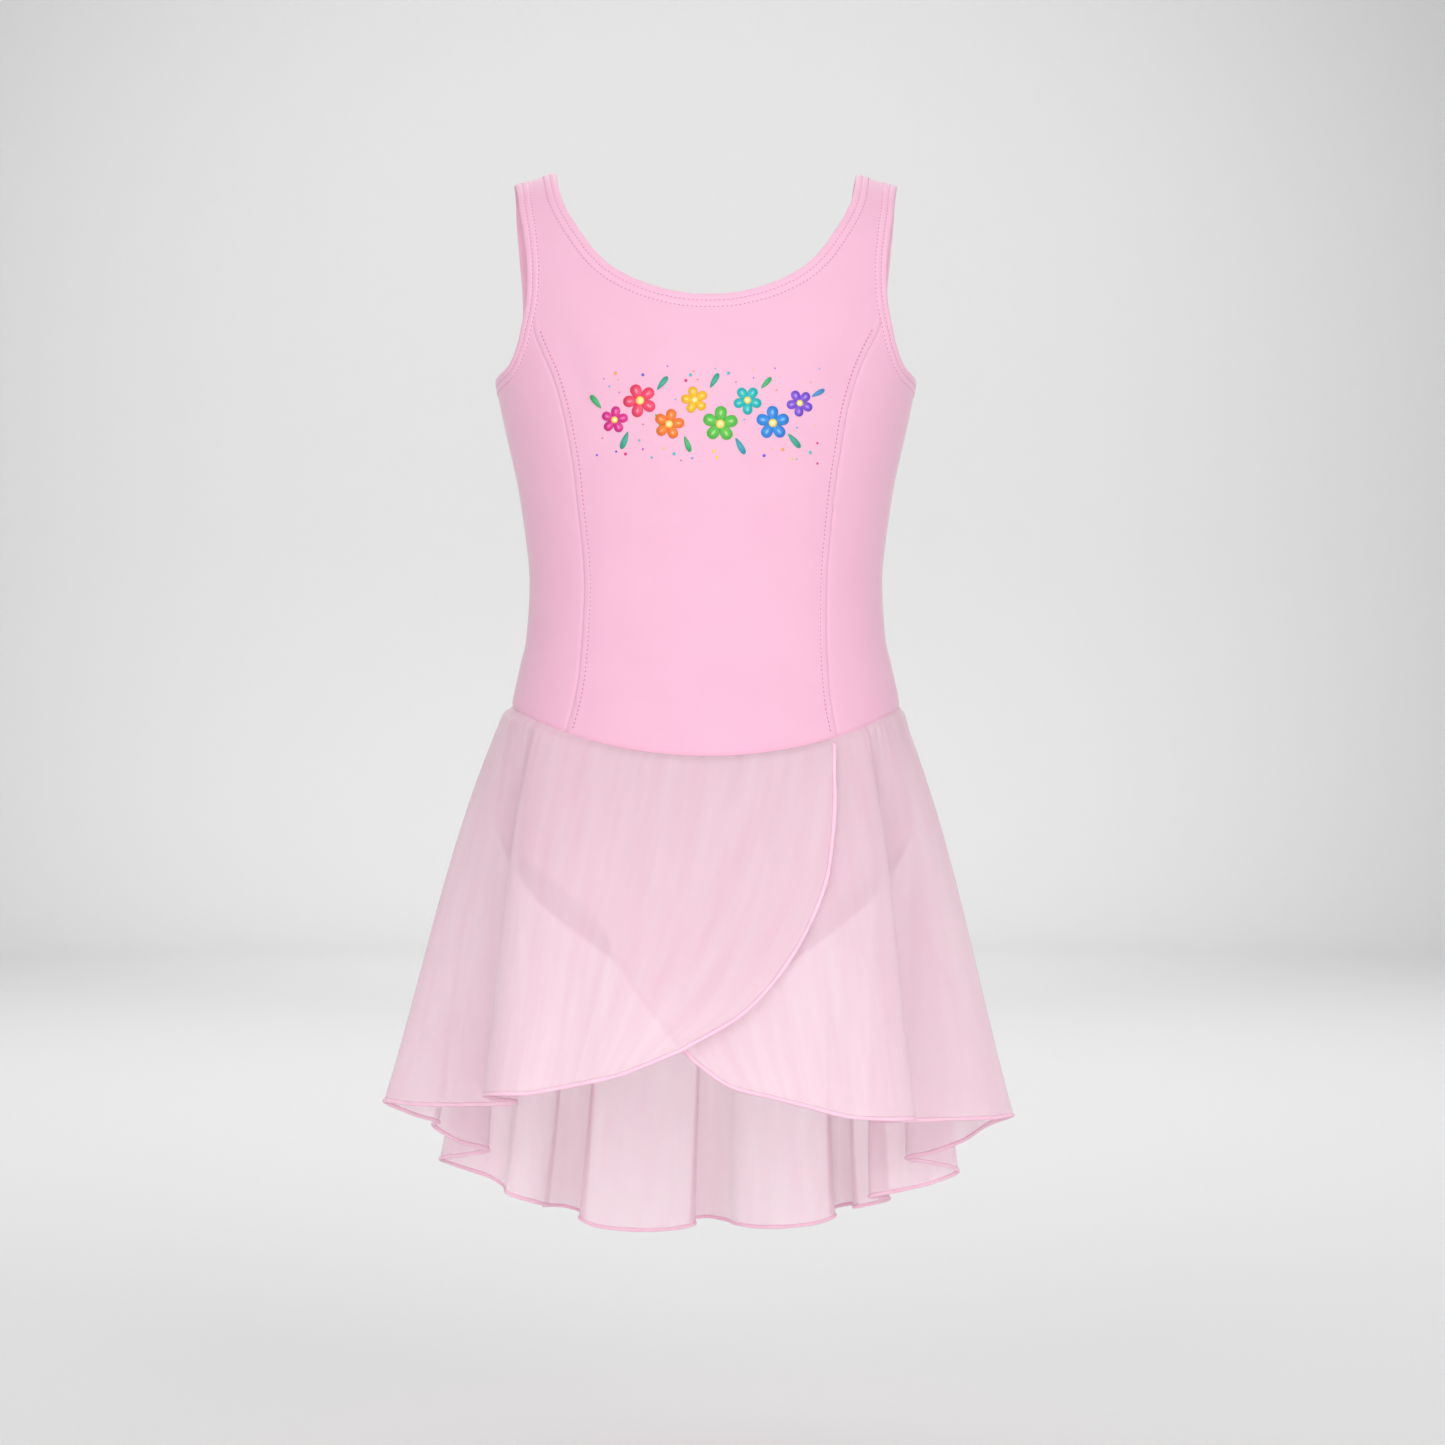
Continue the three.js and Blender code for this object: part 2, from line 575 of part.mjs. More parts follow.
// The +X armhole: strap, front side panel, then up the back
const armholeStrip = edgeStrip([
  ...joined(smoothLine(armholeAbove, STEPS.strap), smoothLine(armholeBelow, STEPS.sideWaist)),
  ...smoothLine(armholeBehind, STEPS.backStrap).reverse().slice(1),
], HOLE_MIDDLES.arm);
const armSide = STEPS.strap + STEPS.sideWaist;
armholeStrip[armSide].band.across = 0;
const strapPanel = panelLine(armholeStrip, 0, STEPS.strap);
const sideArmPanel = panelLine(armholeStrip, STEPS.strap, STEPS.sideWaist).reverse();
const backArmPanel = panelLine(armholeStrip, armSide, STEPS.backStrap).reverse();
sideArmPanel[0] = atSideSeam(sideArmPanel[0], -1);
backArmPanel[STEPS.backStrap] = atSideSeam(backArmPanel[STEPS.backStrap], 1);

// The +X leg opening: down the front, then up the back
const legStrip = edgeStrip([
  ...smoothLine(legLine(-1), STEPS.leg), ...smoothLine(legLine(1), STEPS.leg).reverse().slice(0, -1),
], HOLE_MIDDLES.leg);
legStrip[0].band.across = 0;
const frontLegPanel = panelLine(legStrip, 0, STEPS.leg);
const backLegPanel = [...panelLine(legStrip, STEPS.leg + 1, STEPS.leg - 1), legStrip[0].panel].reverse();
frontLegPanel[0] = atSideSeam(frontLegPanel[0], -1);
backLegPanel[0] = atSideSeam(backLegPanel[0], 1);

const halfGap = SEAM_GAP / 2;

// The princess seam on one side, drawn on the +X half, from the armhole band to the waist
function princessLine(side) {
  const rows = PRINCESS.map((row) => placeAt(row[side], row.z, -1));
  const waistHalf = torsoSize(rows.at(-1).down, 'half');
  const across = Math.acos(PRINCESS_AT_WAIST[side] / waistHalf) * CHART_RADIUS;
  return smoothLine([strapPanel.at(-1), ...rows, waistLine(across, across, -1, 1, 0)[0]], STEPS.panelRows);
}

const princessRight = princessLine('right');
const princessLeft = princessLine('left');
const centreWaist = (lift) => waistLine(
  princessRight.at(-1).across + halfGap,
  2 * QUARTER - princessLeft.at(-1).across - halfGap,
  -1,
  STEPS.frontWaist,
  lift,
);
const sideWaist = (princess, lift) => waistLine(
  SIDE_GAP, princess.at(-1).across - halfGap, -1, STEPS.sideWaist, lift,
);
const backWaist = (lift) => waistLine(SIDE_GAP, 2 * QUARTER - SIDE_GAP, 1, STEPS.backWaist, lift);

function frontCentrePlaces() {
  const waist = centreWaist(-halfGap);
  const right = shifted(princessRight, halfGap);
  const left = mirrored(shifted(princessLeft, halfGap));
  right[right.length - 1] = waist[0];
  left[0] = waist.at(-1);
  return ruledPlaces(frontNeckPanel, joined(strapPanel, right, waist, left, mirrored(strapPanel)), STEPS.panelRows);
}

function frontSidePlaces(princess) {
  const waist = sideWaist(princess, -halfGap);
  const seam = shifted(princess, -halfGap);
  seam[seam.length - 1] = waist.at(-1);
  const armhole = [...sideArmPanel];
  armhole[armhole.length - 1] = seam[0];
  return fourSidedPlaces(armhole, waist, sideLine(SIDE_GAP, armhole[0], waist[0], STEPS.panelRows), seam);
}

function backPlaces() {
  const waist = backWaist(-halfGap);
  const side = sideLine(SIDE_GAP, backArmPanel.at(-1), waist[0], STEPS.panelRows);
  const outer = joined(backArmPanel, side, waist, mirrored(side), mirrored(backArmPanel));
  return ruledPlaces(backNeckPanel, outer, STEPS.panelRows);
}

function briefPlaces(waist, leg) {
  const first = joined(sideLine(SIDE_GAP, waist[0], leg[0], STEPS.briefSide), leg);
  const last = first.map((p) => ({ ...p, across: 2 * QUARTER - p.across }));
  const foot = leg.at(-1);
  const crotch = waist.map((p, c) => ({
    ...foot, across: foot.across + ((2 * QUARTER - 2 * foot.across) * c) / (waist.length - 1),
  }));
  return fourSidedPlaces(waist, crotch, first, last);
}

function addKnit() {
  const frontWaist = joined(
    sideWaist(princessRight, halfGap), centreWaist(halfGap), mirrored(sideWaist(princessLeft, halfGap)),
  );
  addKnitPanel('front_centre', frontCentrePlaces());
  addKnitPanel('front_side_right', frontSidePlaces(princessRight));
  addKnitPanel('front_side_left', frontSidePlaces(princessLeft).map(mirrored));
  addKnitPanel('back', backPlaces());
  addKnitPanel('brief_front', briefPlaces(frontWaist, frontLegPanel));
  addKnitPanel('brief_back', briefPlaces(backWaist(halfGap), backLegPanel));
}

function addBands() {
  const mirroredStrip = (strip) => strip.map(({ edge, band }) => {
    const [mirroredEdge, mirroredBand] = [mirrored([edge])[0], mirrored([band])[0]];
    return { edge: mirroredEdge, band: mirroredBand };
  });
  addEdgeBand('neck_band', neckStrip);
  addEdgeBand('armhole_band_right', armholeStrip);
  addEdgeBand('armhole_band_left', mirroredStrip(armholeStrip));
  addEdgeBand('leg_band_right', legStrip);
  addEdgeBand('leg_band_left', mirroredStrip(legStrip));
}

// Skirt: a point of its seam line, stood off from the knit by the layer's offset
function skirtSeamPoint(seam) {
  const turn = THREE.MathUtils.degToRad(seam);
  const face = Math.cos(turn) >= 0 ? -1 : 1;
  const chartTurn = Math.acos(-Math.sin(turn));
  const place = waistLine(chartTurn * CHART_RADIUS, chartTurn * CHART_RADIUS, face, 1, halfGap)[0];
  const { point, normal } = torsoFrame(place);
  const change = THREE.MathUtils.smoothstep(seam, LAYER_CHANGE.from, LAYER_CHANGE.to);
  const offset = THREE.MathUtils.lerp(OVER_LAYER_OFFSET, UNDER_LAYER_OFFSET, change);
  return point.addScaledVector(normal, offset);
}

function skirtEdgeCurve(seam, rows, end) {
  const points = [skirtSeamPoint(seam), ...rows.map((row) => new THREE.Vector3(row.x, row.y, row.z)), end];
  return new THREE.CatmullRomCurve3(points, false, 'centripetal');
}

// Rows of points at mid thickness, from the seam down, and from the over edge round to the under edge
function skirtPoints() {
  const corners = SKIRT_HEM.map((row) => new THREE.Vector3(row.x, row.y, row.z));
  const hem = new THREE.CatmullRomCurve3(corners, false, 'centripetal');
  const columns = [];
  SKIRT_HEM.slice(1).forEach((row, i) => {
    const byLength = Math.round(corners[i].distanceTo(corners[i + 1]) / SKIRT_COLUMN);
    const steps = Math.max(1, byLength, Math.ceil((row.seam - SKIRT_HEM[i].seam) / SKIRT_COLUMN_TURN));
    for (let k = i === 0 ? 0 : 1; k <= steps; k += 1) {
      const part = k / steps;
      columns.push({
        seam: THREE.MathUtils.lerp(SKIRT_HEM[i].seam, row.seam, part),
        low: hem.getPoint((i + part) / (SKIRT_HEM.length - 1)),
      });
    }
  });
  const first = columns[0];
  const last = columns.at(-1);
  const overEdge = skirtEdgeCurve(first.seam, OVER_EDGE, first.low);
  const underEdge = skirtEdgeCurve(last.seam, UNDER_EDGE, last.low);
  const straight = (column, v) => skirtSeamPoint(column.seam).lerp(column.low, v);
  return Array.from({ length: STEPS.skirtRows + 1 }, (_, r) => {
    const v = r / STEPS.skirtRows;
    const overShift = overEdge.getPointAt(v).sub(straight(first, v));
    const underShift = underEdge.getPointAt(v).sub(straight(last, v));
    return columns.map((column) => {
      const turn = THREE.MathUtils.degToRad(column.seam);
      const overPart = Math.max(0, 1 - (column.seam - first.seam) / EDGE_FADE) ** 2;
      const underPart = Math.max(0, 1 - (last.seam - column.seam) / EDGE_FADE) ** 2;
      const swell = THREE.MathUtils.lerp(BULGE_SIDE, BULGE_BACK, Math.max(0, -Math.cos(turn)));
      const bulge = swell * BULGE_TO_PEAK * v * (1 - v) ** 2 * (1 - overPart) * (1 - underPart);
      return straight(column, v)
        .add(new THREE.Vector3(-Math.sin(turn) * bulge, -Math.cos(turn) * bulge, 0))
        .addScaledVector(overShift, overPart)
        .addScaledVector(underShift, underPart);
    });
  });
}

// Normals of a grid of points, summed from the faces round each point
function gridNormals(points) {
  const normals = points.map((row) => row.map(() => new THREE.Vector3()));
  for (let r = 0; r < points.length - 1; r += 1) {
    for (let c = 0; c < points[0].length - 1; c += 1) {
      const diagonal = points[r + 1][c + 1].clone().sub(points[r][c]);
      const other = points[r + 1][c].clone().sub(points[r][c + 1]);
      const face = diagonal.cross(other);
      for (const [i, j] of [[r, c], [r, c + 1], [r + 1, c], [r + 1, c + 1]]) normals[i][j].add(face);
    }
  }
  normals.forEach((row) => row.forEach((n) => n.normalize()));
  return normals;
}

function addSkirt() {
  const points = skirtPoints();
  const normals = gridNormals(points);
  const side = (distance) => points.map((row, r) => row.map((p, c) => (
    p.clone().addScaledVector(normals[r][c], distance))));
  addPiece('skirt', wallGeometry(side(CHIFFON / 2), side(-CHIFFON / 2)), PALE_CHIFFON);

  const lastRow = points.length - 1;
  const lastColumn = points[0].length - 1;
  const edge = [];
  for (let r = 1; r < lastRow; r += 1) edge.push([r, 0, r, 1]);
  for (let c = 0; c <= lastColumn; c += 1) edge.push([lastRow, c, lastRow - 1, c]);
  for (let r = lastRow - 1; r > 0; r -= 1) edge.push([r, lastColumn, r, lastColumn - 1]);
  const at = (i) => points[edge[i][0]][edge[i][1]];
  const sections = edge.map(([r, c, innerRow, innerColumn], i) => {
    const normal = normals[r][c];
    const along = at(Math.min(i + 1, edge.length - 1)).clone().sub(at(Math.max(i - 1, 0))).normalize();
    const out = along.cross(normal).normalize();
    if (out.dot(points[r][c].clone().sub(points[innerRow][innerColumn])) < 0) out.negate();
    const centre = points[r][c].clone().addScaledVector(out, SEAM_GAP + HEM_ROLL_WIDTH / 2);
    const corner = (o, n) => centre.clone()
      .addScaledVector(out, (o * HEM_ROLL_WIDTH) / 2)
      .addScaledVector(normal, (n * HEM_ROLL_THICK) / 2);
    return [corner(-1, -1), corner(1, -1), corner(1, 1), corner(-1, 1)];
  });
  addPiece('skirt_hem', barGeometry(sections, false), PINK_EDGE);
}

addKnit();
addBands();
addSkirt();

export default group;
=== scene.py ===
"""Dresses a child's skirted dance leotard: stretch knit, stitched edges, chiffon wrap skirt and rolled hem.

Cut tables and sizes are in millimetres, as a pattern cutter writes them, and MM turns them to metres.
Front is towards -Y, and the right side is the viewer's right, +X.
"""

import logging
import math
import random
from dataclasses import dataclass, field
from enum import Enum
from typing import NamedTuple, Sequence

import bmesh
import bpy
import numpy as np
from mathutils import Matrix, Vector, kdtree


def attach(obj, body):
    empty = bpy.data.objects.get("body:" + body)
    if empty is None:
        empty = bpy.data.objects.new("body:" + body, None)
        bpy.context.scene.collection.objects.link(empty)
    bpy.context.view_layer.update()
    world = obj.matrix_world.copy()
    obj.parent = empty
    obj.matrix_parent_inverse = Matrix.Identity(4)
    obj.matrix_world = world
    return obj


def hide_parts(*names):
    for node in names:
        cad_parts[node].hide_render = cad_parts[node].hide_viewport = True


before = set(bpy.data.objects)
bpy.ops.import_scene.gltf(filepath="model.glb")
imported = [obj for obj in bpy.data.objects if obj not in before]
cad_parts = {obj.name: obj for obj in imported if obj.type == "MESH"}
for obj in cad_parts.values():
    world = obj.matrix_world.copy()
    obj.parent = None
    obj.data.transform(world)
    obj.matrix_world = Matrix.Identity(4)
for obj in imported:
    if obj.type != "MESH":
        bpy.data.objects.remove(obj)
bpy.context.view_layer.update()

MM = 0.001
BODY = "root"
WAVE_PERIOD = 0.314

log = logging.getLogger("leotard")

Points = np.ndarray
Places = np.ndarray


# Small helpers for numbers and colours
def smoothstep(value: np.ndarray, low: float, high: float) -> np.ndarray:
    """Eased rise from 0 at low to 1 at high."""
    share = np.clip((value - low) / (high - low), 0.0, 1.0)
    return share * share * (3.0 - 2.0 * share)


def unit(vectors: Points) -> Points:
    """Each vector at length one."""
    return vectors / np.maximum(np.linalg.norm(vectors, axis=-1, keepdims=True), 1e-12)


def linear_colour(hex_colour: str) -> tuple[float, float, float, float]:
    """Turns an sRGB hex colour to the linear one that shaders take.

    Args:
        hex_colour: Six hex digits, red first.

    Returns:
        Linear red, green, blue and an alpha of one.
    """
    shares = [int(hex_colour[i : i + 2], 16) / 255.0 for i in (0, 2, 4)]
    red, green, blue = (s / 12.92 if s <= 0.04045 else ((s + 0.055) / 1.055) ** 2.4 for s in shares)
    return red, green, blue, 1.0


# Cut tables, the same ones that the solids are made from
class TorsoRow(NamedTuple):
    """Half width and the depths to the front and back of the torso form at one height."""

    z: float
    half: float
    front: float
    back: float


class CutPoint(NamedTuple):
    """A point of a cut line in front view."""

    x: float
    z: float


class PrincessRow(NamedTuple):
    """Distance of each princess seam from the centre at one height."""

    z: float
    left: float
    right: float


class HemRow(NamedTuple):
    """Where the hem hangs below one angle of the waist seam, from the front centre to the viewer's left."""

    seam: float
    x: float
    y: float
    z: float


class EdgePoint(NamedTuple):
    """A point of one of the skirt's two curved front edges."""

    x: float
    y: float
    z: float


TORSO = [
    TorsoRow(0, 139, 0, 0),
    TorsoRow(-1.5, 139, 11, 11),
    TorsoRow(-5, 139, 20, 21),
    TorsoRow(-12, 139, 31, 33),
    TorsoRow(-25, 139, 44, 47),
    TorsoRow(-40, 138, 55, 58),
    TorsoRow(-60, 136.5, 64, 68),
    TorsoRow(-85, 134, 71.5, 74),
    TorsoRow(-110, 130.5, 76, 77),
    TorsoRow(-137, 126.3, 78, 78),
    TorsoRow(-162, 121, 77, 75.5),
    TorsoRow(-187, 115.3, 75, 72),
    TorsoRow(-208, 111.8, 72.5, 69),
    TorsoRow(-235, 108.3, 69.5, 66.5),
    TorsoRow(-253, 107.5, 68.5, 66),
    TorsoRow(-284, 109.7, 69.5, 68),
    TorsoRow(-298, 112.9, 71, 70.5),
    TorsoRow(-324, 118.5, 74.5, 76),
    TorsoRow(-354, 123.5, 79, 82),
    TorsoRow(-394, 128, 83, 87),
    TorsoRow(-430, 127, 81, 88),
    TorsoRow(-460, 122, 71, 81),
    TorsoRow(-485, 116, 50, 59),
    TorsoRow(-499, 112, 27, 33),
    TorsoRow(-504.5, 110, 12, 14),
    TorsoRow(-506, 110, 0, 0),
]
FRONT_NECKLINE = [
    CutPoint(88, -16),
    CutPoint(83, -28.5),
    CutPoint(75.5, -41.5),
    CutPoint(65.2, -55.8),
    CutPoint(54.2, -65.6),
    CutPoint(35.5, -75.2),
    CutPoint(16, -80.5),
    CutPoint(0, -81.6),
]
BACK_NECKLINE = [
    CutPoint(89.5, -20),
    CutPoint(86, -40),
    CutPoint(80.5, -60),
    CutPoint(72, -80),
    CutPoint(58, -97),
    CutPoint(40, -108),
    CutPoint(20, -113.5),
    CutPoint(0, -115),
]
FRONT_ARMHOLE_ABOVE_PRINCESS = [
    CutPoint(112.8, -26),
    CutPoint(110, -42),
    CutPoint(108, -58),
    CutPoint(107.6, -69),
    CutPoint(108.2, -83),
]
ARMHOLE_MEETS_PRINCESS = CutPoint(110.5, -95.3)
FRONT_ARMHOLE_BELOW_PRINCESS = [CutPoint(114, -109), CutPoint(119.3, -120)]
BACK_ARMHOLE = [
    CutPoint(116.4, -28),
    CutPoint(115, -48),
    CutPoint(113.4, -68),
    CutPoint(113.2, -86),
    CutPoint(115.2, -103),
    CutPoint(120.5, -118),
]
PRINCESS = [
    PrincessRow(-104, 102.7, 101),
    PrincessRow(-115, 98.4, 95.3),
    PrincessRow(-130, 92, 89),
    PrincessRow(-150, 86.3, 83.3),
    PrincessRow(-175, 81.3, 79.2),
    PrincessRow(-202, 78, 75.4),
    PrincessRow(-228, 75.1, 73.1),
    PrincessRow(-255, 73.6, 71.4),
    PrincessRow(-285, 75, 71.2),
    PrincessRow(-307, 77, 72.3),
    PrincessRow(-324, 80.3, 73.9),
]
PRINCESS_AT_WAIST = {"left": 82.8, "right": 75.5}
FRONT_LEG_LINE = [
    CutPoint(121.5, -403),
    CutPoint(111, -413),
    CutPoint(99, -422.5),
    CutPoint(83, -434),
    CutPoint(68, -447.5),
    CutPoint(55, -463),
    CutPoint(42, -480),
    CutPoint(33, -495),
]
BACK_LEG_LINE = [
    CutPoint(125, -410),
    CutPoint(116, -429),
    CutPoint(103, -447),
    CutPoint(85, -463),
    CutPoint(66, -477),
    CutPoint(48, -490),
    CutPoint(35, -500),
]
SKIRT_HEM = [
    HemRow(-36.5, -16.5, -129, -519.7),
    HemRow(-25, -34.5, -132, -526.9),
    HemRow(-10, -52.5, -134, -533.5),
    HemRow(7, -71, -135, -537.6),
    HemRow(20, -84.5, -131.5, -540.6),
    HemRow(33, -102.5, -135, -543.3),
    HemRow(47, -121, -129, -544.3),
    HemRow(55, -130, -115, -546.3),
    HemRow(57, -122.5, -96, -551),
    HemRow(59.5, -112, -76, -555.4),
    HemRow(68, -151.5, -48, -559.9),
    HemRow(77, -177.5, -30, -561.2),
    HemRow(85, -194.5, -12, -561.6),
    HemRow(90, -178, 0, -571),
    HemRow(93.5, -163, 11, -577.3),
    HemRow(96.5, -167.5, 21, -580),
    HemRow(101, -153, 34, -591.5),
    HemRow(107, -134.5, 50, -599.3),
    HemRow(113, -151.5, 65, -604.6),
    HemRow(119, -167, 84, -609.3),
    HemRow(124, -156.5, 98, -615.9),
    HemRow(130, -137, 112, -624.8),
    HemRow(134.5, -128, 108, -629.8),
    HemRow(138.5, -125, 96, -633),
    HemRow(145, -107.5, 101, -639.5),
    HemRow(150, -99.5, 118, -644),
    HemRow(152, -103, 134, -646.5),
    HemRow(154.5, -89.5, 149, -649.4),
    HemRow(157, -76, 134, -652),
    HemRow(159, -79.5, 119, -652.7),
    HemRow(163, -69, 112.5, -656.6),
    HemRow(171, -40.5, 109, -659),
    HemRow(178, -16, 112, -658.3),
    HemRow(181, -5, 118, -656.4),
    HemRow(182.8, -8, 134, -655.9),
    HemRow(185, 4, 149, -656.5),
    HemRow(187.5, 16, 136, -656.8),
    HemRow(190, 22, 120, -657),
    HemRow(196, 38, 111, -657.6),
    HemRow(203, 61, 109, -656.6),
    HemRow(208.5, 76.5, 112, -654.5),
    HemRow(211, 85.5, 118, -651.4),
    HemRow(212.8, 82.5, 132, -650.4),
    HemRow(215, 91, 146, -649.1),
    HemRow(217.2, 101, 133, -645.8),
    HemRow(219.5, 97.5, 118, -646),
    HemRow(225, 112.5, 111, -642),
    HemRow(229, 119.5, 101, -637.8),
    HemRow(233, 105, 80, -633.6),
    HemRow(240, 122, 80, -630.4),
    HemRow(247, 146, 89, -626.3),
    HemRow(253, 161.5, 81, -617.8),
    HemRow(258, 144.5, 61, -610),
    HemRow(262.5, 125.5, 45, -604.6),
    HemRow(268, 140.5, 33, -599.5),
    HemRow(273.5, 158.5, 22, -591),
    HemRow(278, 172, 6, -579.5),
    HemRow(283, 186, -14, -570.8),
    HemRow(290, 173.5, -31, -570.4),
    HemRow(297, 148, -48, -569.2),
    HemRow(305, 97, -75, -567.1),
    HemRow(308, 105.5, -96, -564.2),
    HemRow(311, 119, -112, -561),
    HemRow(320, 106, -124, -560),
    HemRow(335, 80, -128, -558.1),
    HemRow(350, 55, -126, -552),
    HemRow(363, 36, -124, -547.4),
    HemRow(379, 11.5, -121, -541),
    HemRow(394, -9, -117, -526.8),
]
OVER_EDGE = [
    EdgePoint(73, -75, -362),
    EdgePoint(73, -82, -379),
    EdgePoint(71, -91, -402),
    EdgePoint(67, -99.5, -425),
    EdgePoint(58, -107, -447.7),
    EdgePoint(46, -113.5, -468.7),
    EdgePoint(31.5, -119, -487.3),
    EdgePoint(16, -123.5, -501.4),
]
UNDER_EDGE = [
    EdgePoint(-67, -75, -373.5),
    EdgePoint(-65, -84, -396.6),
    EdgePoint(-63.5, -91, -419.7),
    EdgePoint(-59.5, -97.5, -442.7),
    EdgePoint(-53.5, -103, -465.6),
    EdgePoint(-43, -107.5, -485.6),
    EdgePoint(-31.5, -110.5, -500),
    EdgePoint(-21, -114, -513.2),
]


class Face(Enum):
    """Which half of the form a place is on."""

    FRONT = -1.0
    BACK = 1.0


class Side(Enum):
    """Side of the garment as the viewer sees it from the front."""

    RIGHT = "right"
    LEFT = "left"


class SmoothCurve:
    """A centripetal Catmull-Rom curve through its corners."""

    DIVISIONS = 800

    def __init__(self, corners: Points) -> None:
        """Takes the corners and measures the curve.

        Args:
            corners: One corner a row, in any number of dimensions.
        """
        self.corners = np.asarray(corners, dtype=float)
        ends = [2 * self.corners[0] - self.corners[1], 2 * self.corners[-1] - self.corners[-2]]
        self.padded = np.vstack([ends[0], self.corners, ends[1]])
        self.shares = np.linspace(0.0, 1.0, self.DIVISIONS + 1)
        steps = np.linalg.norm(np.diff(self.at(self.shares), axis=0), axis=1)
        self.lengths = np.concatenate([[0.0], np.cumsum(steps)])

    def at(self, share: np.ndarray) -> Points:
        """Points at shares of the corner count, from 0 at the first corner to 1 at the last."""
        spans = len(self.corners) - 1
        spot = np.clip(np.asarray(share, dtype=float), 0.0, 1.0) * spans
        index = np.minimum(spot.astype(int), spans - 1)
        weight = (spot - index)[..., None]
        before, start, end, after = (self.padded[index + k] for k in range(4))
        gaps = [np.sqrt(np.linalg.norm(b - a, axis=-1, keepdims=True)) for a, b in
                ((before, start), (start, end), (end, after))]
        first, middle, last = (np.maximum(gap, 1e-9) for gap in gaps)
        leave = (start - before) / first - (end - before) / (first + middle) + (end - start) / middle
        arrive = (end - start) / middle - (after - start) / (middle + last) + (after - end) / last
        leave, arrive = leave * middle, arrive * middle
        square, cube = weight**2, weight**3
        return (
            start
            + leave * weight
            + (3 * (end - start) - 2 * leave - arrive) * square
            + (2 * (start - end) + leave + arrive) * cube
        )

    def at_length(self, share: np.ndarray) -> Points:
        """Points at shares of the curve's length."""
        return self.at(np.interp(np.asarray(share) * self.lengths[-1], self.lengths, self.shares))


class FormFrame(NamedTuple):
    """Points of the form with the two steps along its chart and the outward normals."""

    point: Points
    across_step: Points
    down_step: Points
    normal: Points


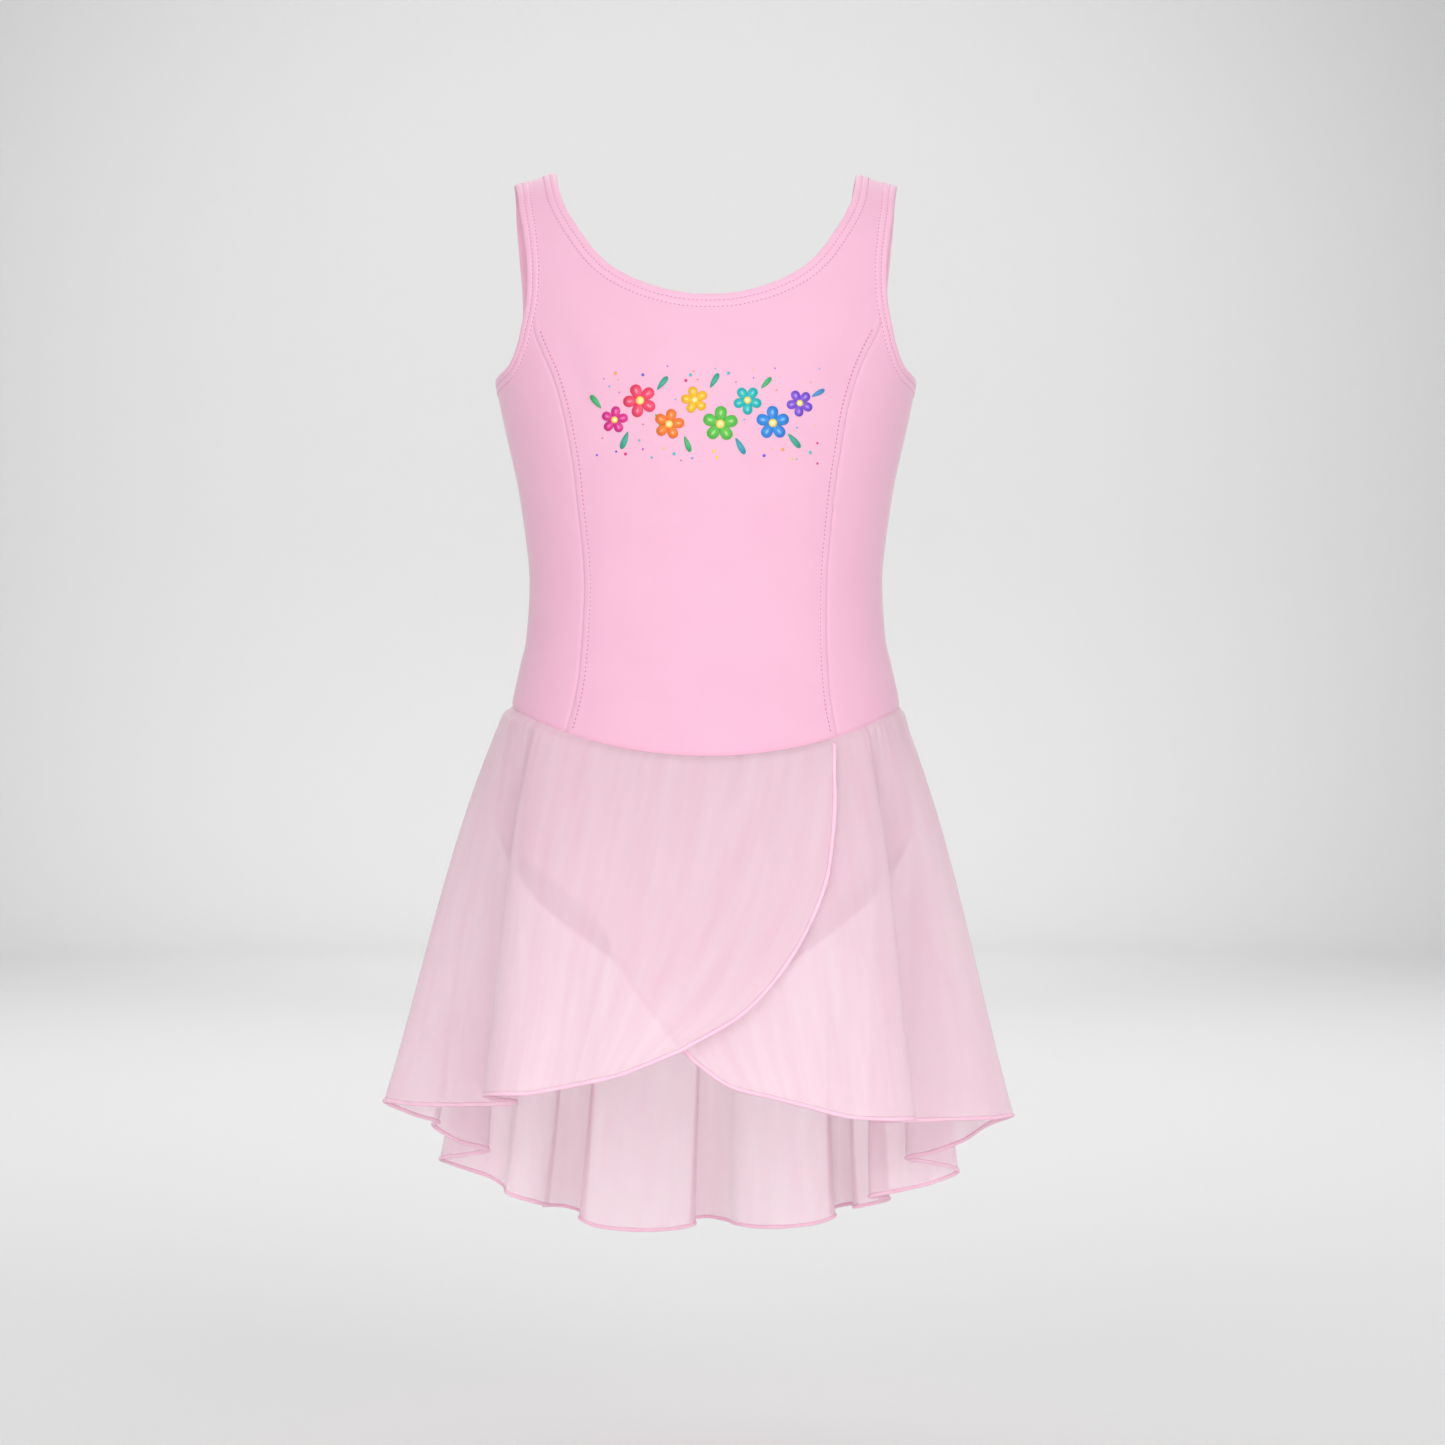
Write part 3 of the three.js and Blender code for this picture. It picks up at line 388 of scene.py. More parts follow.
@dataclass
class TorsoForm:
    """The round form that the knit follows, with a chart of it.

    A place is (across, down, face): across is the turn round the body times the chart radius, down is the
    length of the profile from the shoulder, and face is -1 in front and 1 behind.
    """

    rows: Sequence[TorsoRow]
    chart_radius: float = 100 * MM
    shoulder_slope: float = 0.3
    slope_from: float = 92 * MM
    slope_fades: float = 95 * MM
    nudge: float = 0.5 * MM
    halvings: int = 40

    def __post_init__(self) -> None:
        """Measures the profile and the slopes of its columns."""
        table = np.array(self.rows, dtype=float) * MM
        self.columns = dict(zip(TorsoRow._fields, table.T))
        steps = np.hypot(np.diff(self.columns["z"]), np.diff(self.columns["front"]))
        self.lengths = np.concatenate([[0.0], np.cumsum(steps)])
        self.crotch_down = self.lengths[-1]
        self.quarter = math.pi / 2 * self.chart_radius
        self.slopes = {name: self._slopes(name) for name in self.columns}

    def _slopes(self, name: str) -> np.ndarray:
        """Slope of one column at each row, level in height where the form closes."""
        values = self.columns[name]
        before = np.maximum(np.arange(len(values)) - 1, 0)
        after = np.minimum(np.arange(len(values)) + 1, len(values) - 1)
        slopes = (values[after] - values[before]) / (self.lengths[after] - self.lengths[before])
        if name == "z":
            slopes[0] = slopes[-1] = 0.0
        return slopes

    def size(self, down: np.ndarray, name: str) -> np.ndarray:
        """Smooth value of one column at lengths down the profile."""
        spot = np.clip(down, 0.0, self.crotch_down)
        index = np.clip(np.searchsorted(self.lengths, spot, side="right") - 1, 0, len(self.lengths) - 2)
        span = self.lengths[index + 1] - self.lengths[index]
        share = (spot - self.lengths[index]) / span
        square, cube = share**2, share**3
        values, slopes = self.columns[name], self.slopes[name]
        leave, arrive = slopes[index] * span, slopes[index + 1] * span
        start = values[index] * (2 * cube - 3 * square + 1) + leave * (cube - 2 * square + share)
        end = values[index + 1] * (3 * square - 2 * cube) + arrive * (cube - square)
        return start + end

    def shoulder_drop(self, x: np.ndarray, down: np.ndarray) -> np.ndarray:
        """How far the shoulder slopes down at x."""
        fade = 1.0 - smoothstep(down, 0.0, self.slope_fades)
        return self.shoulder_slope * np.maximum(0.0, np.abs(x) - self.slope_from) * fade

    def point(self, places: Places) -> Points:
        """Points of the form at places."""
        across, down, face = np.moveaxis(np.asarray(places, dtype=float), -1, 0)
        turn = across / self.chart_radius
        depth = np.where(face < 0, self.size(down, "front"), self.size(down, "back"))
        x = self.size(down, "half") * np.cos(turn)
        z = self.size(down, "z") - self.shoulder_drop(x, down)
        return np.stack([x, face * depth * np.sin(turn), z], axis=-1)

    def frame(self, places: Places) -> FormFrame:
        """Points, chart steps and outward normals at places."""
        places = np.asarray(places, dtype=float)
        side = np.array([self.nudge, 0.0, 0.0])
        along = np.array([0.0, self.nudge, 0.0])
        up = places - along
        up[..., 1] = np.maximum(up[..., 1], 0.0)
        low = places + along
        low[..., 1] = np.minimum(low[..., 1], self.crotch_down)
        across_step = (self.point(places + side) - self.point(places - side)) / (2 * self.nudge)
        down_step = (self.point(low) - self.point(up)) / (low - up)[..., 1:2]
        normal = unit(np.cross(across_step, down_step) * -places[..., 2:3])
        return FormFrame(self.point(places), across_step, down_step, normal)

    def raised(self, places: Places, height: np.ndarray) -> Points:
        """Points at a height off the form."""
        found = self.frame(places)
        return found.point + found.normal * np.asarray(height, dtype=float)[..., None]

    def place_at(self, x: np.ndarray, z: np.ndarray, face: Face) -> Places:
        """Places of the form that lie at x and z in front view, found by halving the length down."""
        x, z = np.broadcast_arrays(np.asarray(x, dtype=float), np.asarray(z, dtype=float))
        high, low = np.zeros(x.shape), np.full(x.shape, self.crotch_down)
        for _ in range(self.halvings):
            middle = (high + low) / 2
            above = self.size(middle, "z") - self.shoulder_drop(x, middle) > z
            high, low = np.where(above, middle, high), np.where(above, low, middle)
        across = np.arccos(np.clip(x / self.size(high, "half"), -1.0, 1.0)) * self.chart_radius
        return np.stack([across, high, np.full(x.shape, face.value)], axis=-1)

    def cut(self, points: Sequence[CutPoint], face: Face) -> Places:
        """Places of a cut line's points."""
        table = np.array(points, dtype=float) * MM
        return self.place_at(table[:, 0], table[:, 1], face)

    def fold_place(self, x: float, face: Face, at_crotch: bool) -> Places:
        """A place on the fold at the shoulder or the crotch."""
        half = self.columns["half"][-1 if at_crotch else 0]
        down = self.crotch_down if at_crotch else 0.0
        return np.array([[math.acos(x / half) * self.chart_radius, down, face.value]])

    def mirrored(self, places: Places) -> Places:
        """The same places on the other side, in the other order."""
        turned = np.array(places)[::-1].copy()
        turned[..., 0] = 2 * self.quarter - turned[..., 0]
        return turned


def joined(*lines: Places) -> Places:
    """Lines end to end, with each shared place once."""
    return np.vstack([lines[0], *(line[1:] for line in lines[1:])])


def chained(*lines: Places) -> Places:
    """Lines end to end that share no place."""
    return np.vstack(lines)


def even(steps: int, begin: float = 0.0, end: float = 1.0) -> np.ndarray:
    """Shares in equal steps."""
    return np.linspace(begin, end, steps + 1)


def fine_ends(steps: int) -> np.ndarray:
    """Shares from 0 to 1 that are closest at both ends."""
    return 0.5 - 0.5 * np.cos(np.pi * even(steps))


def fine_end(steps: int) -> np.ndarray:
    """Shares from 0 to 1 that are closest at 1."""
    return np.sin(np.pi / 2 * even(steps))


def line_through(places: Places, shares: np.ndarray) -> Places:
    """A smooth line through places on one face.

    Args:
        places: Places that the line goes through.
        shares: Shares of its length at which it is cut.

    Returns:
        A place for each share.
    """
    spots = SmoothCurve(places[:, :2]).at_length(shares)
    return np.column_stack([spots, np.full(len(spots), places[0, 2])])


def broken_line(places: Places, breaks: Sequence[float], counts: Sequence[int]) -> Places:
    """A smooth line in stretches: breaks are shares of its length, counts the steps between them."""
    shares = [even(n, breaks[i], breaks[i + 1])[1 if i else 0:] for i, n in enumerate(counts)]
    return line_through(places, np.concatenate(shares))


def ruled(upper: Places, lower: Places, shares: np.ndarray) -> Places:
    """A grid of places between two lines of equal count."""
    return upper + (lower - upper) * shares[:, None, None]


def four_sided(upper: Places, lower: Places, first: Places, last: Places,
               down: np.ndarray, across: np.ndarray) -> Places:
    """A grid of places inside four lines.

    Args:
        upper: The upper line, cut at the shares across.
        lower: The lower line, cut alike.
        first: The first side, cut at the shares down.
        last: The other side, cut alike.
        down: Shares of the rows.
        across: Shares of the columns.

    Returns:
        The places, row by row.
    """
    v, u = down[:, None, None], across[None, :, None]
    along_down = (1 - v) * upper[None] + v * lower[None]
    along_across = (1 - u) * first[:, None] + u * last[:, None]
    corners = (1 - v) * ((1 - u) * upper[0] + u * upper[-1]) + v * ((1 - u) * lower[0] + u * lower[-1])
    return along_down + along_across - corners


def line_length(form: TorsoForm, places: Places) -> float:
    """Length of a line on the form, in metres."""
    return float(np.linalg.norm(np.diff(form.point(places), axis=0), axis=1).sum())


@dataclass
class CutLines:
    """Every cut line of the knit, on the form's chart."""

    form: TorsoForm
    strap_inner: float = 92 * MM
    strap_outer: float = 117 * MM
    armhole_bottom_z: float = -127.5 * MM
    waist_side_z: float = -324 * MM
    waist_dip_front: float = 29.4 * MM
    waist_dip_back: float = 12 * MM
    waist_dip_power: float = 1.9
    leg_top_z: float = -391 * MM
    crotch_half: float = 29 * MM
    neck_breaks: dict[Face, list[float]] = field(default_factory=lambda: {
        Face.FRONT: [0, 0.29, 0.46, 0.54, 0.71, 1],
        Face.BACK: [0, 0.36, 0.46, 0.48, 0.52, 0.54, 0.64, 1],
    })

    def side_place(self, z: float, face: Face) -> Places:
        """The place of the side seam at one height."""
        return np.array([[0.0, float(self.form.place_at(0.0, z, face)[1]), face.value]])

    def neck(self, face: Face) -> Places:
        """The neck edge of one face, from the right strap to the left one."""
        rows = FRONT_NECKLINE if face is Face.FRONT else BACK_NECKLINE
        half = chained(self.form.fold_place(self.strap_inner, face, False), self.form.cut(rows, face))
        return joined(half, self.form.mirrored(half))

    def armhole_above(self) -> Places:
        """The front armhole from the shoulder to the princess seam."""
        meets = self.form.cut([ARMHOLE_MEETS_PRINCESS], Face.FRONT)
        start = self.form.fold_place(self.strap_outer, Face.FRONT, False)
        return chained(start, self.form.cut(FRONT_ARMHOLE_ABOVE_PRINCESS, Face.FRONT), meets)

    def armhole_below(self) -> Places:
        """The front armhole from the princess seam to the side seam."""
        meets = self.form.cut([ARMHOLE_MEETS_PRINCESS], Face.FRONT)
        end = self.side_place(self.armhole_bottom_z, Face.FRONT)
        return chained(meets, self.form.cut(FRONT_ARMHOLE_BELOW_PRINCESS, Face.FRONT), end)

    def armhole_behind(self) -> Places:
        """The back armhole from the shoulder to the side seam."""
        start = self.form.fold_place(self.strap_outer, Face.BACK, False)
        end = self.side_place(self.armhole_bottom_z, Face.BACK)
        return chained(start, self.form.cut(BACK_ARMHOLE, Face.BACK), end)

    def leg(self, face: Face) -> Places:
        """The leg line of one face, from the side seam to the crotch."""
        rows = FRONT_LEG_LINE if face is Face.FRONT else BACK_LEG_LINE
        start = self.side_place(self.leg_top_z, face)
        end = self.form.fold_place(self.crotch_half, face, True)
        return chained(start, self.form.cut(rows, face), end)

    def waist(self, across: np.ndarray, face: Face) -> Places:
        """Places of the waist seam at places across."""
        dip = self.waist_dip_front if face is Face.FRONT else self.waist_dip_back
        sine = np.abs(np.sin(across / self.form.chart_radius))
        z = self.waist_side_z - dip * sine**self.waist_dip_power
        down = self.form.place_at(np.zeros_like(z), z, face)[..., 1]
        return np.stack([across, down, np.full_like(down, face.value)], axis=-1)

    def princess(self, side: Side, start: Places, shares: np.ndarray) -> Places:
        """A princess seam, drawn on the right half, from the armhole band to the waist.

        Args:
            side: Which of the two seams.
            start: The place where it leaves the band.
            shares: Shares of its length at which it is cut.

        Returns:
            The places of the seam.
        """
        rows = [CutPoint(getattr(row, side.value), row.z) for row in PRINCESS]
        places = self.form.cut(rows, Face.FRONT)
        half = float(self.form.size(places[-1, 1], "half"))
        across = math.acos(PRINCESS_AT_WAIST[side.value] * MM / half) * self.form.chart_radius
        return line_through(chained(start, places, self.waist(np.array([across]), Face.FRONT)), shares)

    def inset(self, ring: Places, hole: Vector, distance: float) -> Places:
        """A closed edge moved onto the cloth, square to itself.

        Args:
            ring: Places of the closed edge.
            hole: The middle of the opening, which tells the cloth's side.
            distance: How far to move.

        Returns:
            The moved places.
        """
        found = self.form.frame(ring)
        along = np.roll(found.point, -1, axis=0) - np.roll(found.point, 1, axis=0)
        direction = unit(np.cross(along, found.normal))
        away = found.point - np.array(hole)
        direction *= np.where((direction * away).sum(axis=1) < 0, -1.0, 1.0)[:, None]
        steps = max(1, round(abs(distance) / (2 * MM)))
        at = np.array(ring, dtype=float)
        for _ in range(steps):
            local = self.form.frame(at)
            aa = (local.across_step**2).sum(axis=1)
            ad = (local.across_step * local.down_step).sum(axis=1)
            dd = (local.down_step**2).sum(axis=1)
            a = (direction * local.across_step).sum(axis=1)
            d = (direction * local.down_step).sum(axis=1)
            scale = distance / steps / (aa * dd - ad * ad)
            at[:, 0] += (a * dd - d * ad) * scale
            at[:, 1] = np.clip(at[:, 1] + (d * aa - a * ad) * scale, 0.0, self.form.crotch_down)
        return at


# Meshes from grids
@dataclass
class Sheet:
    """A grid of points that becomes a mesh, with a pattern coordinate for each point."""

    name: str
    points: Points
    pattern: np.ndarray
    outward: Points
    closed_across: bool = False
    closed_round: bool = False

    def build(self) -> bpy.types.Object:
        """Moves a created grid's vertices to the points and turns its faces outwards.

        Returns:
            The finished object, at the origin and in the scene.
        """
        rows, columns = self.points.shape[:2]
        mesh = bmesh.new()
        bmesh.ops.create_grid(mesh, x_segments=columns - 1, y_segments=rows - 1, size=0.5)
        spots = [(round((v.co.y + 0.5) * (rows - 1)), round((v.co.x + 0.5) * (columns - 1)))
                 for v in mesh.verts]
        for vert, (row, column) in zip(mesh.verts, spots):
            vert.co = self.points[row, column]
        mesh.verts.index_update()
        layer = mesh.loops.layers.uv.new("pattern")
        for face in mesh.faces:
            face.smooth = True
            for loop in face.loops:
                loop[layer].uv = self.pattern[spots[loop.vert.index]]
        mesh.normal_update()
        facing = sum(face.normal.dot(Vector(self.outward[spots[face.verts[0].index]]))
                     for face in mesh.faces)
        if facing < 0:
            bmesh.ops.reverse_faces(mesh, faces=mesh.faces)
        if self.closed_across or self.closed_round:
            bmesh.ops.remove_doubles(mesh, verts=mesh.verts, dist=0.002 * MM)
        if self.closed_round and not self.closed_across:
            bmesh.ops.holes_fill(mesh, edges=[edge for edge in mesh.edges if edge.is_boundary])
        for edge in mesh.edges:
            edge.smooth = not edge.is_boundary
        return placed(self.name, mesh)


def placed(name: str, mesh: bmesh.types.BMesh) -> bpy.types.Object:
    """Turns a bmesh into an object of the scene.

    Args:
        name: The object's name.
        mesh: Its mesh, which is freed.

    Returns:
        The object.
    """
    data = bpy.data.meshes.new(name)
    mesh.to_mesh(data)
    mesh.free()
    piece = bpy.data.objects.new(name, data)
    bpy.context.scene.collection.objects.link(piece)
    return piece


def dress(piece: bpy.types.Object, material: bpy.types.Material,
          node: str | None = None) -> None:
    """Gives a piece of the garment its finish.

    Args:
        piece: The piece.
        material: Its material.
        node: The solid that it takes the place of, if any.
    """
    piece.data.materials.append(material)
    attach(piece, BODY)
    if node:
        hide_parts(node)


def smooth_faces(mesh: bmesh.types.BMesh) -> None:
    """Shades every face of a mesh smoothly."""
    for face in mesh.faces:
        face.smooth = True


def thickened(piece: bpy.types.Object, thickness: float, offset: float) -> None:
    """Gives a sheet its cloth's thickness, from the outer face inwards where offset is -1."""
    wall = piece.modifiers.new("cloth thickness", "SOLIDIFY")
    wall.thickness = thickness
    wall.offset = offset
    wall.use_rim = True


def grid_normals(points: Points) -> Points:
    """Unit normals of a grid of points."""
    down = np.gradient(points, axis=0)
    across = np.gradient(points, axis=1)
    return unit(np.cross(across, down))


# Finishes
def add_node(tree: bpy.types.NodeTree, kind: str, links: dict[str, bpy.types.NodeSocket] | None = None,
             settings: dict[str, object] | None = None, **values: object) -> bpy.types.Node:
    """Adds a shader node with its settings, input values and links.

    Args:
        tree: The material's node tree.
        kind: The node's type.
        links: Sockets to link, by the input's name.
        settings: Properties of the node itself.
        **values: Input values, by the input's name with _ for spaces.

    Returns:
        The node.
    """
    node = tree.nodes.new(kind)
    for key, value in (settings or {}).items():
        setattr(node, key, value)
    for key, value in values.items():
        node.inputs[key.replace("_", " ")].default_value = value
    for key, socket in (links or {}).items():
        tree.links.new(socket, node.inputs[key])
    return node


def new_material(name: str) -> tuple[bpy.types.Material, bpy.types.NodeTree, bpy.types.Node]:
    """Makes a node material.

    Args:
        name: Its name.

    Returns:
        The material, its node tree and its Principled shader.
    """
    made = bpy.data.materials.new(name)
    made.use_nodes = True
    return made, made.node_tree, made.node_tree.nodes["Principled BSDF"]


def add_relief(tree: bpy.types.NodeTree, shader: bpy.types.Node, height: bpy.types.NodeSocket,
               strength: float, depth_mm: float) -> None:
    """Roughens a shader's surface by a height.

    Args:
        tree: The material's node tree.
        shader: Its shader.
        height: The socket that gives the height.
        strength: How much of the relief shows.
        depth_mm: Its depth in millimetres.
    """
    bump = add_node(tree, "ShaderNodeBump", {"Height": height}, Strength=strength, Distance=depth_mm * MM)
    tree.links.new(bump.outputs["Normal"], shader.inputs["Normal"])


@dataclass(frozen=True)
class ClothFinish:
    """A dyed cloth, from its threads' spacing, its two close shades and how it shines."""

    name: str
    light: str
    deep: str
    thread_mm: float
    relief_mm: float
    mottle_mm: float = 30.0
    roughness: float = 0.6
    sheen: float = 0.25
    alpha: float = 1.0
    ribs: bool = True
    # The fold fields paint the shade of soft folds into the colour as lengthwise streaks
    fold_shade_mm: float = 0.0
    fold_shade_length: float = 8.0
    scatter: float = 0.0
    scatter_mm: float = 1.5
    sheen_spread: float = 0.5
    gloss: float = 0.25
    relief_strength: float = 0.35

    def material(self) -> bpy.types.Material:
        """Makes the material: two close shades and the threads' relief.

        Returns:
            The node material, which reads the piece's own pattern coordinates.
        """
        made, tree, shader = new_material(self.name)
        shader.inputs["Roughness"].default_value = self.roughness
        shader.inputs["Sheen Weight"].default_value = self.sheen
        shader.inputs["Sheen Roughness"].default_value = self.sheen_spread
        shader.inputs["Specular IOR Level"].default_value = self.gloss
        shader.inputs["Alpha"].default_value = self.alpha
        shader.inputs["Subsurface Weight"].default_value = self.scatter
        shader.inputs["Subsurface Radius"].default_value = (1.0, 1.0, 1.0)
        shader.inputs["Subsurface Scale"].default_value = self.scatter_mm * MM
        place = add_node(tree, "ShaderNodeUVMap", settings={"uv_map": "pattern"}).outputs["UV"]
        shades = add_node(tree, "ShaderNodeMix", {"Factor": self._mottle_or_fold_shade(tree, place)}, {"data_type": "RGBA"})
        shades.inputs[6].default_value = linear_colour(self.deep)
        shades.inputs[7].default_value = linear_colour(self.light)
        tree.links.new(shades.outputs[2], shader.inputs["Base Color"])
        add_relief(tree, shader, self._threads(tree, place), self.relief_strength, self.relief_mm)
        return made

    def _mottle_or_fold_shade(self, tree: bpy.types.NodeTree, place: bpy.types.NodeSocket) -> bpy.types.NodeSocket:
        """The light shade's share: streaks of painted fold shade down the cloth where fold_shade_mm is set,
        or else a round mottle of random tone.
        """
        if not self.fold_shade_mm:
            mottle = add_node(tree, "ShaderNodeTexNoise", {"Vector": place},
                              Scale=1.0 / (self.mottle_mm * MM), Detail=3.0, Roughness=0.55)
            return mottle.outputs["Fac"]
        across = 1.0 / (self.fold_shade_mm * MM)
        down = 1.0 / (self.fold_shade_length * self.fold_shade_mm * MM)
        drawn = add_node(tree, "ShaderNodeMapping", {"Vector": place}, Scale=(across, down, 1.0))
        # Painted fold shade: darker and lighter streaks drawn out down the cloth
        painted_fold_shade = add_node(tree, "ShaderNodeTexNoise", {"Vector": drawn.outputs["Vector"]},
                           Scale=1.0, Detail=2.0)
        spread = add_node(tree, "ShaderNodeMapRange", {"Value": painted_fold_shade.outputs["Fac"]},
                          From_Min=0.25, From_Max=0.75)
        return spread.outputs["Result"]

    def _threads(self, tree: bpy.types.NodeTree, place: bpy.types.NodeSocket) -> bpy.types.NodeSocket:
        """The threads' height: the knit's ribs, or the even grain of a weave."""
        if self.ribs:
            wave = add_node(tree, "ShaderNodeTexWave", {"Vector": place},
                            {"wave_type": "BANDS", "bands_direction": "X"},
                            Scale=WAVE_PERIOD / (self.thread_mm * MM), Distortion=1.5, Detail=2.0)
            return wave.outputs["Fac"]
        grain = add_node(tree, "ShaderNodeTexVoronoi", {"Vector": place}, Scale=1.0 / (self.thread_mm * MM))
        return grain.outputs["Distance"]


@dataclass(frozen=True)
class ThreadFinish:
    """Spun polyester sewing thread: two twisted strands with a slight gloss."""

    name: str
    colour: str
    roughness: float = 0.45

    def material(self) -> bpy.types.Material:
        """Makes the material, with a fine twist across the stitch."""
        made, tree, shader = new_material(self.name)
        shader.inputs["Base Color"].default_value = linear_colour(self.colour)
        shader.inputs["Roughness"].default_value = self.roughness
        shader.inputs["Sheen Weight"].default_value = 0.2
        place = add_node(tree, "ShaderNodeTexCoord")
        twist = add_node(tree, "ShaderNodeTexNoise", {"Vector": place.outputs["Object"]}, Scale=2500.0)
        add_relief(tree, shader, twist.outputs["Fac"], 0.4, 0.05)
        return made


# The knit's seams and panels
class FlatCut(NamedTuple):
    """What shows of a cut piece, laid flat, in millimetres, and its area in square metres.

    These are figures of the built form. The photograph shows no piece laid flat.
    """

    width: float
    length: float
    area: float


class Crease(NamedTuple):
    """A soft trough or ridge in front view, from one end to the other, with its height and half width."""

    face: Face
    x: float
    z: float
    end_x: float
    end_z: float
    height: float
    width: float


CREASES = [
    Crease(Face.FRONT, -88, -96, -72, -150, -0.9, 8),
    Crease(Face.FRONT, 90, -98, 74, -146, -0.7, 8),
    Crease(Face.FRONT, -60, -180, -64, -300, 0.5, 10),
    Crease(Face.FRONT, 58, -200, 62, -310, 0.5, 10),
    Crease(Face.FRONT, -98, -236, -84, -262, -0.6, 7),
    Crease(Face.FRONT, 98, -238, 86, -266, -0.5, 7),
    Crease(Face.BACK, -92, -105, -70, -165, -0.8, 9),
    Crease(Face.BACK, 90, -108, 72, -160, -0.9, 8),
    Crease(Face.BACK, -96, -240, -40, -262, -0.7, 7),
    Crease(Face.BACK, 94, -246, 46, -262, -0.6, 8),
    Crease(Face.BACK, -20, -268, 34, -274, -0.5, 7),
]


def crease_heights(points: Points, face: np.ndarray) -> np.ndarray:
    """How far the creases lift the cloth at points of the form."""
    height = np.zeros(points.shape[:-1])
    for crease in CREASES:
        start = np.array([crease.x, crease.z]) * MM
        run = np.array([crease.end_x, crease.end_z]) * MM - start
        away = points[..., [0, 2]] - start
        share = np.clip((away @ run) / (run @ run), 0.0, 1.0)
        reach = np.linalg.norm(away - share[..., None] * run, axis=-1)
        shape = np.exp(-((reach / (crease.width * MM)) ** 2)) * np.sin(np.pi * (0.12 + 0.76 * share))
        height += np.where(face == crease.face.value, crease.height * MM * shape, 0.0)
    return height


@dataclass
class SeamGroove:
    """A sewn seam: the cloth sinks into it, and may stand up beside it over the pressed allowance."""

    points: Points
    depth: float = 0.5 * MM
    width: float = 0.8 * MM
    ridge: float = 0.0
    ridge_width: float = 5.0 * MM

    def __post_init__(self) -> None:
        """Sorts the seam's points for finding the nearest."""
        self.tree = kdtree.KDTree(len(self.points))
        for index, point in enumerate(self.points):
            self.tree.insert(point, index)
        self.tree.balance()

    def heights(self, points: Points) -> np.ndarray:
        """How far the cloth stands off its form at points near the seam."""
        flat = points.reshape(-1, 3)
        reach = np.array([self.tree.find(point)[2] for point in flat]).reshape(points.shape[:-1])
        narrow = 0.75 * np.exp(-((reach / self.width) ** 2))
        wide = 0.25 * np.exp(-((reach / (3.5 * self.width)) ** 2))
        sunk = self.depth * (narrow + wide)
        up = smoothstep(reach, 0.6 * MM, 1.6 * MM)
        over = 1.0 - smoothstep(reach, self.ridge_width - 0.4 * MM, self.ridge_width + 0.9 * MM)
        dent = 0.22 * MM * np.exp(-(((reach - self.ridge_width + 0.1 * MM) / (0.55 * MM)) ** 2))
        return self.ridge * up * over - sunk - (dent if self.ridge > 0 else 0.0)


